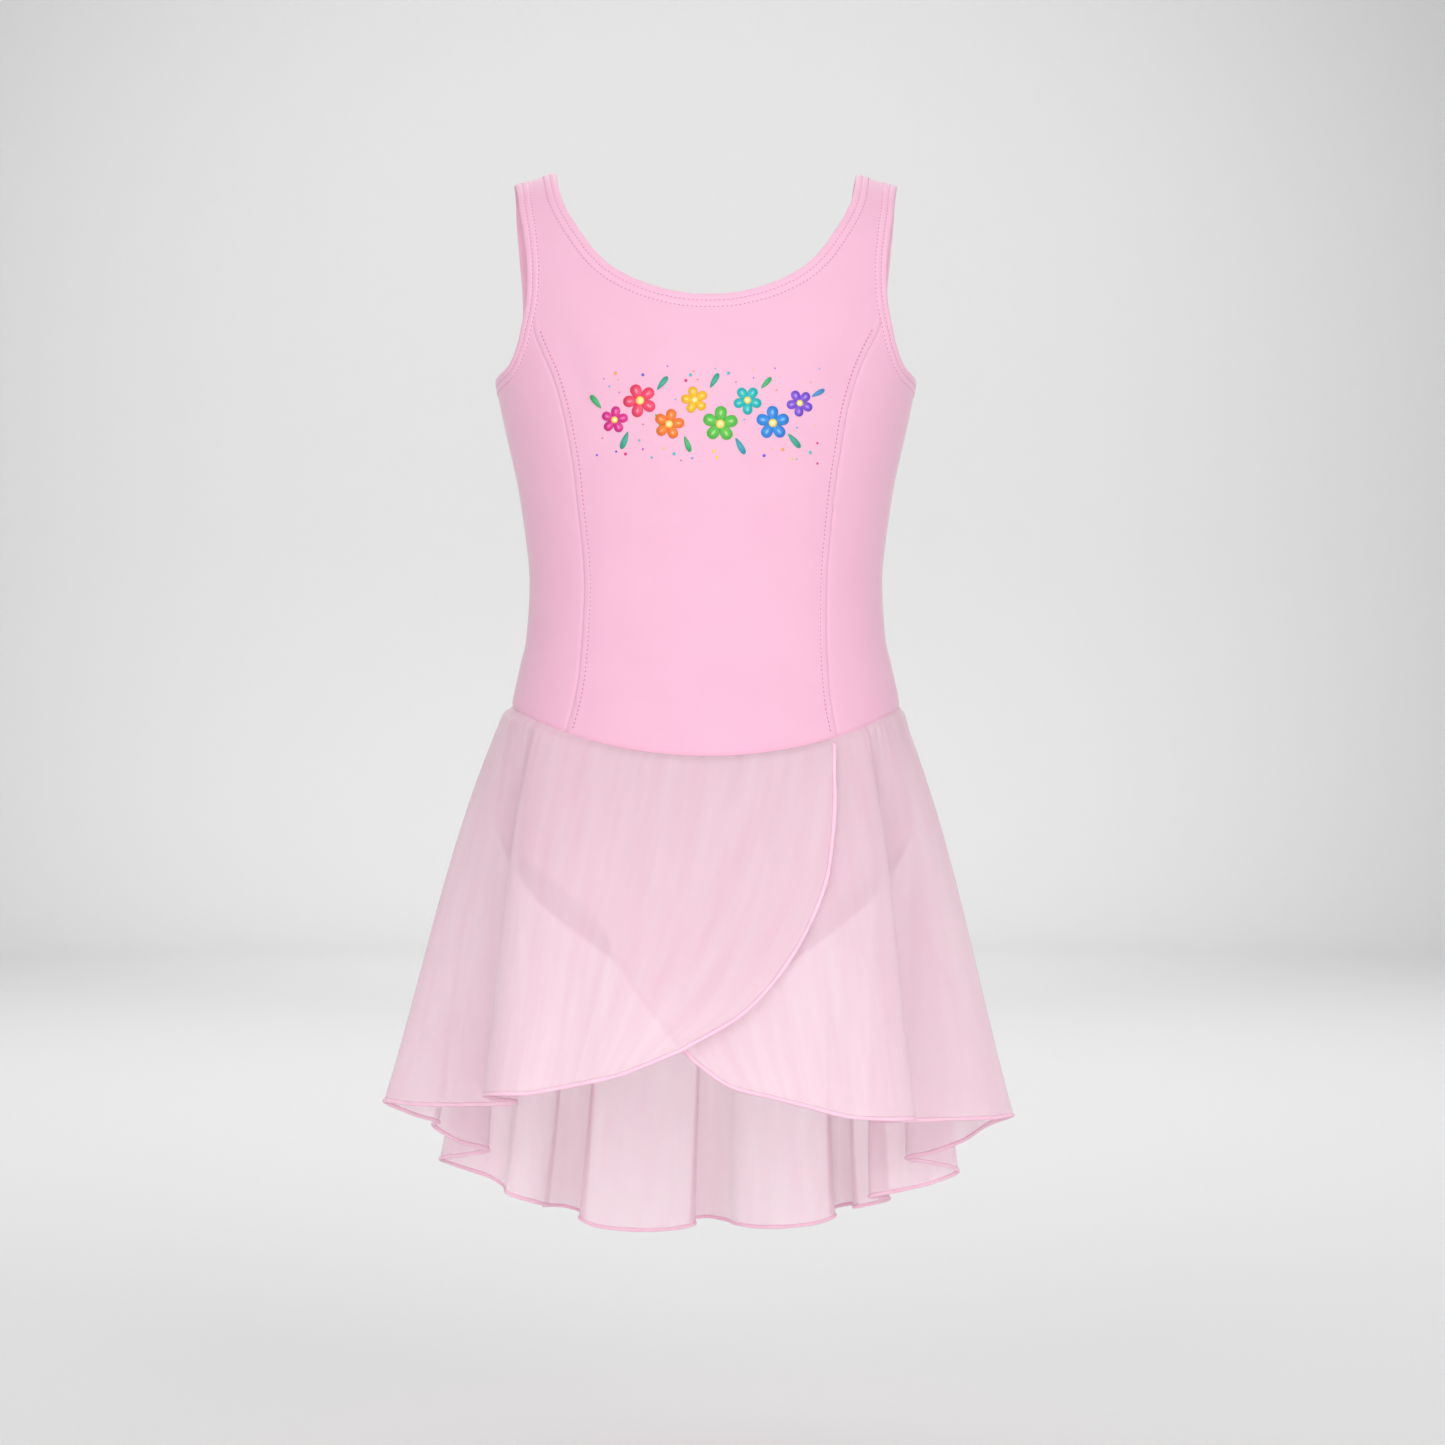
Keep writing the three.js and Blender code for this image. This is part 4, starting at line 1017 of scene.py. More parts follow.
@dataclass
class KnitPanels:
    """Bodice and brief: six cut pieces of stretch knit, sewn at princess, side, waist and crotch."""

    form: TorsoForm
    lines: CutLines
    finish: ClothFinish
    tucked: float = 8.2 * MM
    thickness: float = 0.7 * MM
    strap_steps: int = 30
    princess_steps: int = 90
    waist_steps: int = 60
    back_strap_steps: int = 50
    back_strap_upper_steps: int = 30
    side_steps: int = 80
    back_waist_steps: int = 120
    leg_steps: int = 60
    under_arm_steps: int = 28
    front_side_rows: int = 80
    brief_side_steps: int = 16
    row_steps: int = 60
    neck_middle: Vector = field(default_factory=lambda: Vector((0, 0, -40 * MM)))
    arm_middle: Vector = field(default_factory=lambda: Vector((139 * MM, 0, -60 * MM)))
    leg_middle: Vector = field(default_factory=lambda: Vector((110 * MM, 0, -480 * MM)))

    def __post_init__(self) -> None:
        """Works out the lines that the panels share."""
        self._neck_lines()
        self._armhole_lines()
        self._leg_lines()
        start = self.strap[-1:]
        self.princess = {side: self.lines.princess(side, start, even(self.princess_steps)) for side in Side}
        self.seams = self._seams()

    def _neck_lines(self) -> None:
        """The neck edge of each face, moved in to where the panels start."""
        half = [self.strap_steps, self.princess_steps]
        counts = [*half, self.waist_steps, *half[::-1]]
        upper = self.back_strap_upper_steps
        lower = self.back_strap_steps - upper
        back_counts = [upper, lower, self.side_steps, self.back_waist_steps, self.side_steps, lower, upper]
        front = broken_line(self.lines.neck(Face.FRONT), self.lines.neck_breaks[Face.FRONT], counts)
        back = broken_line(self.lines.neck(Face.BACK), self.lines.neck_breaks[Face.BACK], back_counts)
        moved = self.lines.inset(chained(front, back[::-1]), self.neck_middle, self.tucked)
        self.front_neck = moved[: len(front)]
        self.back_neck = moved[len(front):][::-1]

    def _armhole_lines(self) -> None:
        """The armhole on the right half, moved in, in its three stretches."""
        above = line_through(self.lines.armhole_above(), even(self.strap_steps))
        below = line_through(self.lines.armhole_below(), fine_ends(self.under_arm_steps))
        behind = line_through(self.lines.armhole_behind(), even(self.back_strap_steps))
        ring = chained(above, below[1:], behind[::-1])
        moved = self.lines.inset(ring, self.arm_middle, self.tucked)
        side = len(above) + len(below) - 2
        moved[side, 0] = moved[side + 1, 0] = 0.0
        self.strap = moved[: len(above)]
        self.arm_below = moved[len(above) - 1 : side + 1][::-1]
        self.arm_behind = moved[side + 1:][::-1]

    def _leg_lines(self) -> None:
        """The leg opening on the right half, moved in."""
        front = line_through(self.lines.leg(Face.FRONT), even(self.leg_steps))
        back = line_through(self.lines.leg(Face.BACK), even(self.leg_steps))
        moved = self.lines.inset(chained(front, back[::-1]), self.leg_middle, self.tucked)
        moved[0, 0] = moved[-1, 0] = 0.0
        self.front_leg = moved[: len(front)]
        self.back_leg = moved[len(front):][::-1]

    def _seams(self) -> dict[str, SeamGroove]:
        """Every sewn seam of the knit, as grooves."""
        whole = even(400) * 2 * self.form.quarter
        right, left = self.princess[Side.RIGHT], self.form.mirrored(self.princess[Side.LEFT])
        dense = even(600)
        princess = np.vstack([self.form.point(line_through(line, dense)) for line in (right, left)])
        waist = np.vstack([self.form.point(self.lines.waist(whole, face)) for face in Face])
        downs = np.linspace(float(self.arm_below[0, 1]), float(self.front_leg[0, 1]), 600)
        sides = [np.column_stack([np.full_like(downs, across), downs, np.full_like(downs, -1.0)])
                 for across in (0.0, 2 * self.form.quarter)]
        side = np.vstack([self.form.point(places) for places in sides])
        folds = [np.column_stack([whole, np.full(len(whole), down), np.full(len(whole), -1.0)])
                 for down in (0.0, self.form.crotch_down)]
        shoulder, crotch = (self.form.point(places) for places in folds)
        return {
            "princess": SeamGroove(princess, ridge=0.3 * MM),
            "princess plain": SeamGroove(princess),
            "waist": SeamGroove(waist, depth=0.9 * MM, width=1.1 * MM),
            "side": SeamGroove(side, depth=0.4 * MM),
            "shoulder": SeamGroove(shoulder, depth=0.3 * MM, width=0.7 * MM),
            "crotch": SeamGroove(crotch, depth=0.4 * MM),
        }

    def _panel(self, node: str, places: Places, seams: Sequence[str]) -> bpy.types.Object:
        """Builds one panel over its node.

        Args:
            node: The node that it replaces, and the piece's name.
            places: Its grid of places.
            seams: Names of the seams that shape it.

        Returns:
            The piece.
        """
        found = self.form.frame(places)
        height = sum(self.seams[seam].heights(found.point) for seam in seams)
        height = height + crease_heights(found.point, places[..., 2])
        points = found.point + found.normal * height[..., None]
        piece = Sheet("cloth_" + node, points, places[..., :2], found.normal).build()
        thickened(piece, self.thickness, -1.0)
        dress(piece, self.finish.material(), node)
        log.info("%s: %d faces", piece.name, len(piece.data.polygons))
        return piece

    def front_centre(self) -> bpy.types.Object:
        """The front centre panel with both front straps."""
        right, left = self.princess[Side.RIGHT], self.form.mirrored(self.princess[Side.LEFT])
        across = np.linspace(right[-1, 0], left[0, 0], self.waist_steps + 1)
        waist = self.lines.waist(across, Face.FRONT)
        outer = joined(self.strap, right, waist, left, self.form.mirrored(self.strap))
        places = ruled(self.front_neck, outer, fine_end(self.row_steps))
        return self._panel("front_centre", places, ["princess", "waist", "shoulder"])

    def front_side(self, side: Side) -> bpy.types.Object:
        """The front side panel between the princess seam and the side seam."""
        down, across = fine_ends(self.front_side_rows), fine_ends(self.under_arm_steps)
        princess = self.lines.princess(side, self.strap[-1:], down)
        waist = self.lines.waist(across * princess[-1, 0], Face.FRONT)
        first = np.column_stack([
            np.zeros(len(down)),
            self.arm_below[0, 1] + (waist[0, 1] - self.arm_below[0, 1]) * down,
            np.full(len(down), Face.FRONT.value),
        ])
        places = four_sided(self.arm_below, waist, first, princess, down, across)
        if side is Side.LEFT:
            places[..., 0] = 2 * self.form.quarter - places[..., 0]
        return self._panel("front_side_" + side.value, places, ["princess plain", "waist", "side"])

    def back(self) -> bpy.types.Object:
        """The back panel with both back straps."""
        across = even(self.back_waist_steps) * 2 * self.form.quarter
        waist = self.lines.waist(across, Face.BACK)
        side = self._side_line(self.arm_behind[-1], waist[0], self.side_steps, Face.BACK)
        other_side = [self.form.mirrored(line) for line in (side, self.arm_behind)]
        outer = joined(self.arm_behind, side, waist, *other_side)
        places = ruled(self.back_neck, outer, fine_end(self.row_steps))
        return self._panel("back", places, ["waist", "side", "shoulder"])

    def _side_line(self, top: np.ndarray, foot: np.ndarray, steps: int, face: Face) -> Places:
        """The side seam on the right half between two places."""
        downs = np.linspace(top[1], foot[1], steps + 1)
        return np.column_stack([np.zeros_like(downs), downs, np.full_like(downs, face.value)])

    def brief(self, face: Face) -> bpy.types.Object:
        """The front or back of the brief, from the waist seam to the crotch seam."""
        leg = self.front_leg if face is Face.FRONT else self.back_leg
        across = even(self.back_waist_steps)
        waist = self.lines.waist(across * 2 * self.form.quarter, face)
        side = self._side_line(waist[0], leg[0], self.brief_side_steps, face)
        first = joined(side, leg)
        last = first.copy()
        last[:, 0] = 2 * self.form.quarter - last[:, 0]
        foot = np.repeat(leg[-1:], len(across), axis=0)
        foot[:, 0] = leg[-1, 0] + (2 * self.form.quarter - 2 * leg[-1, 0]) * across
        places = four_sided(waist, foot, first, last, even(len(first) - 1), across)
        node = "brief_front" if face is Face.FRONT else "brief_back"
        return self._panel(node, places, ["waist", "side", "crotch"])


# Stitches
@dataclass
class StitchRow:
    """A row of short stitches, one little grain of thread each, sunk into the cloth."""

    pitch: float = 2.6 * MM
    length: float = 1.4 * MM
    width: float = 0.75 * MM
    sunk: float = 0.16 * MM
    look_ahead: float = 0.2 * MM

    def grain(self) -> bpy.types.Mesh:
        """One stitch as a small ball, which every stitch of the row is drawn out from."""
        mesh = bmesh.new()
        bmesh.ops.create_uvsphere(mesh, u_segments=6, v_segments=5, radius=1.0)
        data = bpy.data.meshes.new("stitch grain")
        mesh.to_mesh(data)
        mesh.free()
        return data

    def sew(self, mesh: bmesh.types.BMesh, path: Points, normals: Points) -> int:
        """Adds the row's stitches to a mesh.

        Args:
            mesh: The mesh that takes them.
            path: Points of the row, on the cloth.
            normals: Outward normals at those points.

        Returns:
            The count of stitches.
        """
        lengths = np.concatenate([[0.0], np.cumsum(np.linalg.norm(np.diff(path, axis=0), axis=1))])
        count = max(1, int(lengths[-1] / self.pitch))
        middles = (np.arange(count) + 0.5) * lengths[-1] / count
        spread = [np.interp(middles + shift, lengths, column)
                  for shift in (-self.look_ahead, 0.0, self.look_ahead) for column in path.T]
        before, centre, after = (np.column_stack(spread[i : i + 3]) for i in (0, 3, 6))
        upward = unit(np.column_stack([np.interp(middles, lengths, column) for column in normals.T]))
        along = unit(after - before)
        sideways = unit(np.cross(upward, along))
        grain = self.grain()
        for spot, a, s, n in zip(centre - upward * self.sunk, along, sideways, upward):
            rows = [(a[i] * self.length / 2, s[i] * self.width / 2, n[i] * self.width / 2, spot[i])
                    for i in range(3)]
            place = Matrix((*rows, (0, 0, 0, 1)))
            first = len(mesh.verts)
            mesh.from_mesh(grain)
            mesh.verts.ensure_lookup_table()
            for vert in mesh.verts[first:]:
                vert.co = place @ vert.co
        bpy.data.meshes.remove(grain)
        return count


def sewn(name: str, mesh: bmesh.types.BMesh, thread: ThreadFinish) -> bpy.types.Object:
    """Turns a mesh of stitches into a piece of the garment.

    Args:
        name: The piece's name.
        mesh: Its stitches.
        thread: The thread's finish.

    Returns:
        The piece.
    """
    bmesh.ops.recalc_face_normals(mesh, faces=mesh.faces)
    smooth_faces(mesh)
    stitches = placed(name, mesh)
    dress(stitches, thread.material())
    return stitches


class BandPoint(NamedTuple):
    """A point of an edge band's section: how far in from the fold, and how high off the form."""

    inset: float
    height: float


BAND_SECTION = [
    BandPoint(0.0, -0.55),
    BandPoint(0.12, -0.1),
    BandPoint(0.5, 0.26),
    BandPoint(1.3, 0.47),
    BandPoint(2.4, 0.52),
    BandPoint(3.4, 0.42),
    BandPoint(3.9, 0.22),
    BandPoint(4.2, 0.1),
    BandPoint(4.5, 0.22),
    BandPoint(5.1, 0.4),
    BandPoint(6.2, 0.46),
    BandPoint(7.2, 0.38),
    BandPoint(7.9, 0.18),
    BandPoint(8.2, 0.02),
    BandPoint(8.7, 0.0),
    BandPoint(9.2, -0.35),
    BandPoint(9.2, -0.9),
    BandPoint(8.2, -1.15),
    BandPoint(5.5, -1.35),
    BandPoint(2.5, -1.45),
    BandPoint(0.8, -1.3),
    BandPoint(0.15, -0.95),
]


@dataclass
class EdgeBands:
    """Neck, armhole and leg edges: the knit turned over elastic and held by two rows of stitches.

    rows_at gives for each row how far in from the fold it lies, and how high off the form.
    """

    panels: KnitPanels
    finish: ClothFinish
    thread: ThreadFinish
    spacing: float = 2.0 * MM
    rows_at: tuple[tuple[float, float], ...] = ((4.2 * MM, 0.16 * MM), (8.2 * MM, 0.1 * MM))
    row: StitchRow = field(default_factory=StitchRow)

    def _ring(self, stretches: Sequence[Places]) -> Places:
        """One closed edge in even steps, without its repeated places."""
        form = self.panels.form
        steps = [max(8, round(line_length(form, line) / self.spacing)) for line in stretches]
        return chained(*(line_through(line, even(n))[:-1] for line, n in zip(stretches, steps)))

    def _section(self, ring: Places, hole: Vector, inset: float, height: float) -> tuple[Points, Points]:
        """A ring of points of the band, with normals."""
        moved = self.panels.lines.inset(ring, hole, inset) if inset > 0 else ring
        found = self.panels.form.frame(moved)
        return found.point + found.normal * height, found.normal

    def build(self, node: str, stretches: Sequence[Places], hole: Vector, flipped: bool = False) -> None:
        """Builds one band and its stitches.

        Args:
            node: The band's node.
            stretches: The lines of its closed edge, in order.
            hole: The middle of the opening.
            flipped: True for the band on the left side.
        """
        ring = self._ring(stretches)
        flip = np.array([-1.0 if flipped else 1.0, 1.0, 1.0])
        sections = [self._section(ring, hole, p.inset * MM, p.height * MM) for p in BAND_SECTION]
        points = np.stack([np.vstack([p, p[:1]]) for p, _ in [*sections, sections[0]]]) * flip
        middle = points.mean(axis=0, keepdims=True)
        around = np.linspace(0, len(ring) * self.spacing, len(ring) + 1)
        girth = [p.inset * MM for p in BAND_SECTION] + [0.0]
        pattern = np.stack(np.meshgrid(around, girth), axis=-1)
        piece = Sheet("cloth_" + node, points, pattern, points - middle, True, True).build()
        dress(piece, self.finish.material(), node)
        mesh = bmesh.new()
        count = 0
        for inset, height in self.rows_at:
            path, normals = (np.vstack([line, line[:1]]) * flip
                             for line in self._section(ring, hole, inset, height))
            count += self.row.sew(mesh, path, normals)
        sewn("stitches_" + node, mesh, self.thread)
        log.info("%s: %d faces and %d stitches", piece.name, len(piece.data.polygons), count)

    def build_all(self) -> None:
        """Builds all five bands."""
        panels, lines = self.panels, self.panels.lines
        neck = [lines.neck(Face.FRONT), lines.neck(Face.BACK)[::-1]]
        arm = [lines.armhole_above(), lines.armhole_below(), lines.armhole_behind()[::-1]]
        leg = [lines.leg(Face.FRONT), lines.leg(Face.BACK)[::-1]]
        self.build("neck_band", neck, panels.neck_middle)
        for side, flipped in ((Side.RIGHT, False), (Side.LEFT, True)):
            self.build("armhole_band_" + side.value, arm, panels.arm_middle, flipped)
            self.build("leg_band_" + side.value, leg, panels.leg_middle, flipped)


@dataclass
class Topstitching:
    """The row of stitches that holds each princess seam's allowance flat."""

    panels: KnitPanels
    thread: ThreadFinish
    from_seam: float = 4.9 * MM
    lift: float = 0.12 * MM
    row: StitchRow = field(default_factory=lambda: StitchRow(sunk=0.05 * MM))

    def build(self) -> None:
        """Sews both rows."""
        form = self.panels.form
        mesh = bmesh.new()
        count = 0
        for side in Side:
            line = self.panels.princess[side]
            if side is Side.LEFT:
                line = form.mirrored(line)[::-1]
            found = form.frame(line)
            along = np.gradient(found.point, axis=0)
            inward = unit(np.cross(along, found.normal))
            inward *= np.where(inward[:, :1] * found.point[:, :1] > 0, -1.0, 1.0)
            path = found.point + inward * self.from_seam + found.normal * self.lift
            count += self.row.sew(mesh, path[2:-1], found.normal[2:-1])
        stitches = sewn("stitches_princess", mesh, self.thread)
        log.info("%s: %d stitches", stitches.name, count)


# The chest print
class Flower(NamedTuple):
    """A printed flower: its place from the print's middle, its size, its turn and its petals' colours."""

    x: float
    z: float
    radius: float
    turn: float
    petal: str
    glow: str


class Leaf(NamedTuple):
    """A printed leaf: its foot from the middle of the print, its length, its turn and its colour."""

    x: float
    z: float
    length: float
    turn: float
    colour: str


FLOWERS = [
    Flower(-55, -3, 8.0, 10, "D92C8C", "F27DBC"),
    Flower(-40, 8, 10.0, 40, "EE4266", "FF8FA6"),
    Flower(-23, -6, 9.0, 5, "F5792A", "FFB56E"),
    Flower(-8, 8, 8.0, 30, "F5B921", "FFE07A"),
    Flower(7, -6, 10.5, 15, "58BE4A", "A4E27F"),
    Flower(23, 8, 8.5, 55, "1FB6B8", "7CE0DC"),
    Flower(38, -5, 10.0, 20, "2B86DC", "83BEF7"),
    Flower(54, 7, 8.0, 48, "7A4FD3", "B79AF2"),
]
LEAVES = [
    Leaf(-63, 4, 10, 128, "3DAF6E"),
    Leaf(-47, -10, 11, 248, "2FA58C"),
    Leaf(-31, 0, 9, 300, "4DBB5E"),
    Leaf(-30, 14, 10, 52, "2FA58C"),
    Leaf(-14, -13, 10, 290, "3DAF6E"),
    Leaf(1, 15, 10, 60, "2FA58C"),
    Leaf(16, -14, 11, 300, "2F9FB0"),
    Leaf(31, 15, 9, 48, "3DAF6E"),
    Leaf(47, -11, 11, 312, "2FA58C"),
    Leaf(61, 11, 9, 30, "3D8FC6"),
]
DOT_COLOURS = ["E2318A", "F6A62C", "35BFC0", "6B5FD8", "F7D04A", "4AA8E8", "C75BCF"]


@dataclass(frozen=True)
class PrintInk:
    """Heat-pressed plastisol ink: a thin even film, a little glossier than the knit under it."""

    name: str = "heat pressed plastisol print"
    roughness: float = 0.42

    def material(self) -> bpy.types.Material:
        """Makes the material, which takes each motif's colour and lets the knit's grain show faintly."""
        made, tree, shader = new_material(self.name)
        shader.inputs["Roughness"].default_value = self.roughness
        ink = add_node(tree, "ShaderNodeAttribute", settings={"attribute_name": "ink"})
        place = add_node(tree, "ShaderNodeTexCoord")
        grain = add_node(tree, "ShaderNodeTexNoise", {"Vector": place.outputs["Object"]},
                         Scale=1400.0, Detail=2.0)
        tree.links.new(ink.outputs["Color"], shader.inputs["Base Color"])
        add_relief(tree, shader, grain.outputs["Fac"], 0.3, 0.05)
        return made


@dataclass
class ChestPrint:
    """A band of many-coloured flowers, leaves and dots pressed on the chest."""

    form: TorsoForm
    ink: PrintInk
    middle_z: float = -153 * MM
    lift: float = 0.14 * MM
    layer: float = 0.04 * MM
    film: float = 0.06 * MM
    dot_count: int = 46
    half_width: float = 66.0
    half_height: float = 28.0
    dot_gap: float = 1.5
    leaf_room: float = 6.0
    seed: int = 11

    def _blot(self, mesh: bmesh.types.BMesh, centre: tuple[float, float], size: tuple[float, float],
              turn: float, colours: tuple[str, str], level: int, sides: int = 16) -> None:
        """Presses one petal or leaf, which narrows towards its foot, or one round dot.

        Args:
            mesh: The mesh that takes it.
            centre: Its foot or middle in millimetres from the print's middle.
            size: Its length from the foot and its width; a length of 0 makes a dot of that width.
            turn: Its direction in degrees from the viewer's right.
            colours: Its colours in the middle and at the rim.
            level: How many films lie under it.
            sides: Corners of its outline.
        """
        layer = mesh.verts.layers.float_color["ink"]
        before = len(mesh.verts)
        bmesh.ops.create_circle(mesh, cap_ends=True, cap_tris=True, segments=sides, radius=1.0)
        mesh.verts.ensure_lookup_table()
        new = mesh.verts[before:]
        local = np.array([vert.co[:2] for vert in new])
        rim = np.linalg.norm(local, axis=1) > 0.5
        length, width = size
        if length > 0:
            along = (local[:, 0] + 1) / 2
            across = local[:, 1] * width / 2 * (0.35 + 0.65 * along**0.7)
            along = along * length
        else:
            along, across = local[:, 0] * width / 2, local[:, 1] * width / 2
        cosine, sine = math.cos(math.radians(turn)), math.sin(math.radians(turn))
        x = (centre[0] + along * cosine - across * sine) * MM
        z = (centre[1] + along * sine + across * cosine) * MM + self.middle_z
        height = np.full(len(x), self.lift + level * self.layer)
        points = self.form.raised(self.form.place_at(x, z, Face.FRONT), height)
        for vert, point, on_rim in zip(new, points, rim):
            vert.co = point
            vert[layer] = linear_colour(colours[1] if on_rim else colours[0])

    def _flower(self, mesh: bmesh.types.BMesh, flower: Flower) -> None:
        """Presses one flower: five petals, their light streaks and its middle."""
        centre = (flower.x, flower.z)
        for petal in range(5):
            turn = flower.turn + 72 * petal
            self._blot(mesh, centre, (flower.radius, flower.radius * 0.86), turn,
                       (flower.petal, flower.petal), 1)
            start = (
                flower.x + 0.34 * flower.radius * math.cos(math.radians(turn)),
                flower.z + 0.34 * flower.radius * math.sin(math.radians(turn)),
            )
            self._blot(mesh, start, (flower.radius * 0.52, flower.radius * 0.34), turn,
                       (flower.glow, flower.petal), 2)
        self._blot(mesh, centre, (0.0, flower.radius * 0.5), 0.0, ("FFF3B8", "F9C93C"), 3, 14)

    def build(self) -> None:
        """Builds the whole print as one film."""
        mesh = bmesh.new()
        mesh.verts.layers.float_color.new("ink")
        for leaf in LEAVES:
            self._blot(mesh, (leaf.x, leaf.z), (leaf.length, leaf.length * 0.42), leaf.turn,
                       (leaf.colour, leaf.colour), 0)
        for flower in FLOWERS:
            self._flower(mesh, flower)
        draw = random.Random(self.seed)
        taken = [(flower.x, flower.z, flower.radius + self.dot_gap) for flower in FLOWERS]
        taken += [(leaf.x + leaf.length / 2 * math.cos(math.radians(leaf.turn)),
                   leaf.z + leaf.length / 2 * math.sin(math.radians(leaf.turn)), self.leaf_room)
                  for leaf in LEAVES]
        dots = 0
        while dots < self.dot_count:
            x = draw.uniform(-self.half_width, self.half_width)
            z = draw.uniform(-self.half_height, self.half_height)
            size = draw.choice([0.9, 1.1, 1.4, 1.9])
            if all(math.hypot(x - other[0], z - other[1]) > other[2] + size for other in taken):
                colour = draw.choice(DOT_COLOURS)
                self._blot(mesh, (x, z), (0.0, size), 0.0, (colour, colour), 0, 10)
                taken.append((x, z, self.dot_gap))
                dots += 1
        smooth_faces(mesh)
        mesh.normal_update()
        turned = [face for face in mesh.faces if face.normal.y > 0]
        bmesh.ops.reverse_faces(mesh, faces=turned)
        film = placed("chest_print", mesh)
        thickened(film, self.film, -1.0)
        dress(film, self.ink.material())
        log.info("%s: %d flowers, %d leaves and %d dots", film.name, len(FLOWERS), len(LEAVES), dots)


# The skirt
class Gather(NamedTuple):
    """A pucker below the waist seam: where it is, how wide, how deep and how far down it reaches."""

    seam: float
    width: float
    depth: float
    reach: float


GATHERS = [
    Gather(20.2, 1.6, 0.8, 26),
    Gather(14.0, 1.2, 0.5, 18),
    Gather(7.9, 1.5, 1.1, 40),
    Gather(2.0, 1.1, 0.9, 30),
    Gather(-6.5, 1.2, 0.8, 26),
    Gather(-9.3, 1.0, 1.0, 42),
    Gather(-15.0, 1.4, 0.8, 28),
    Gather(-24.0, 1.8, 0.5, 20),
]


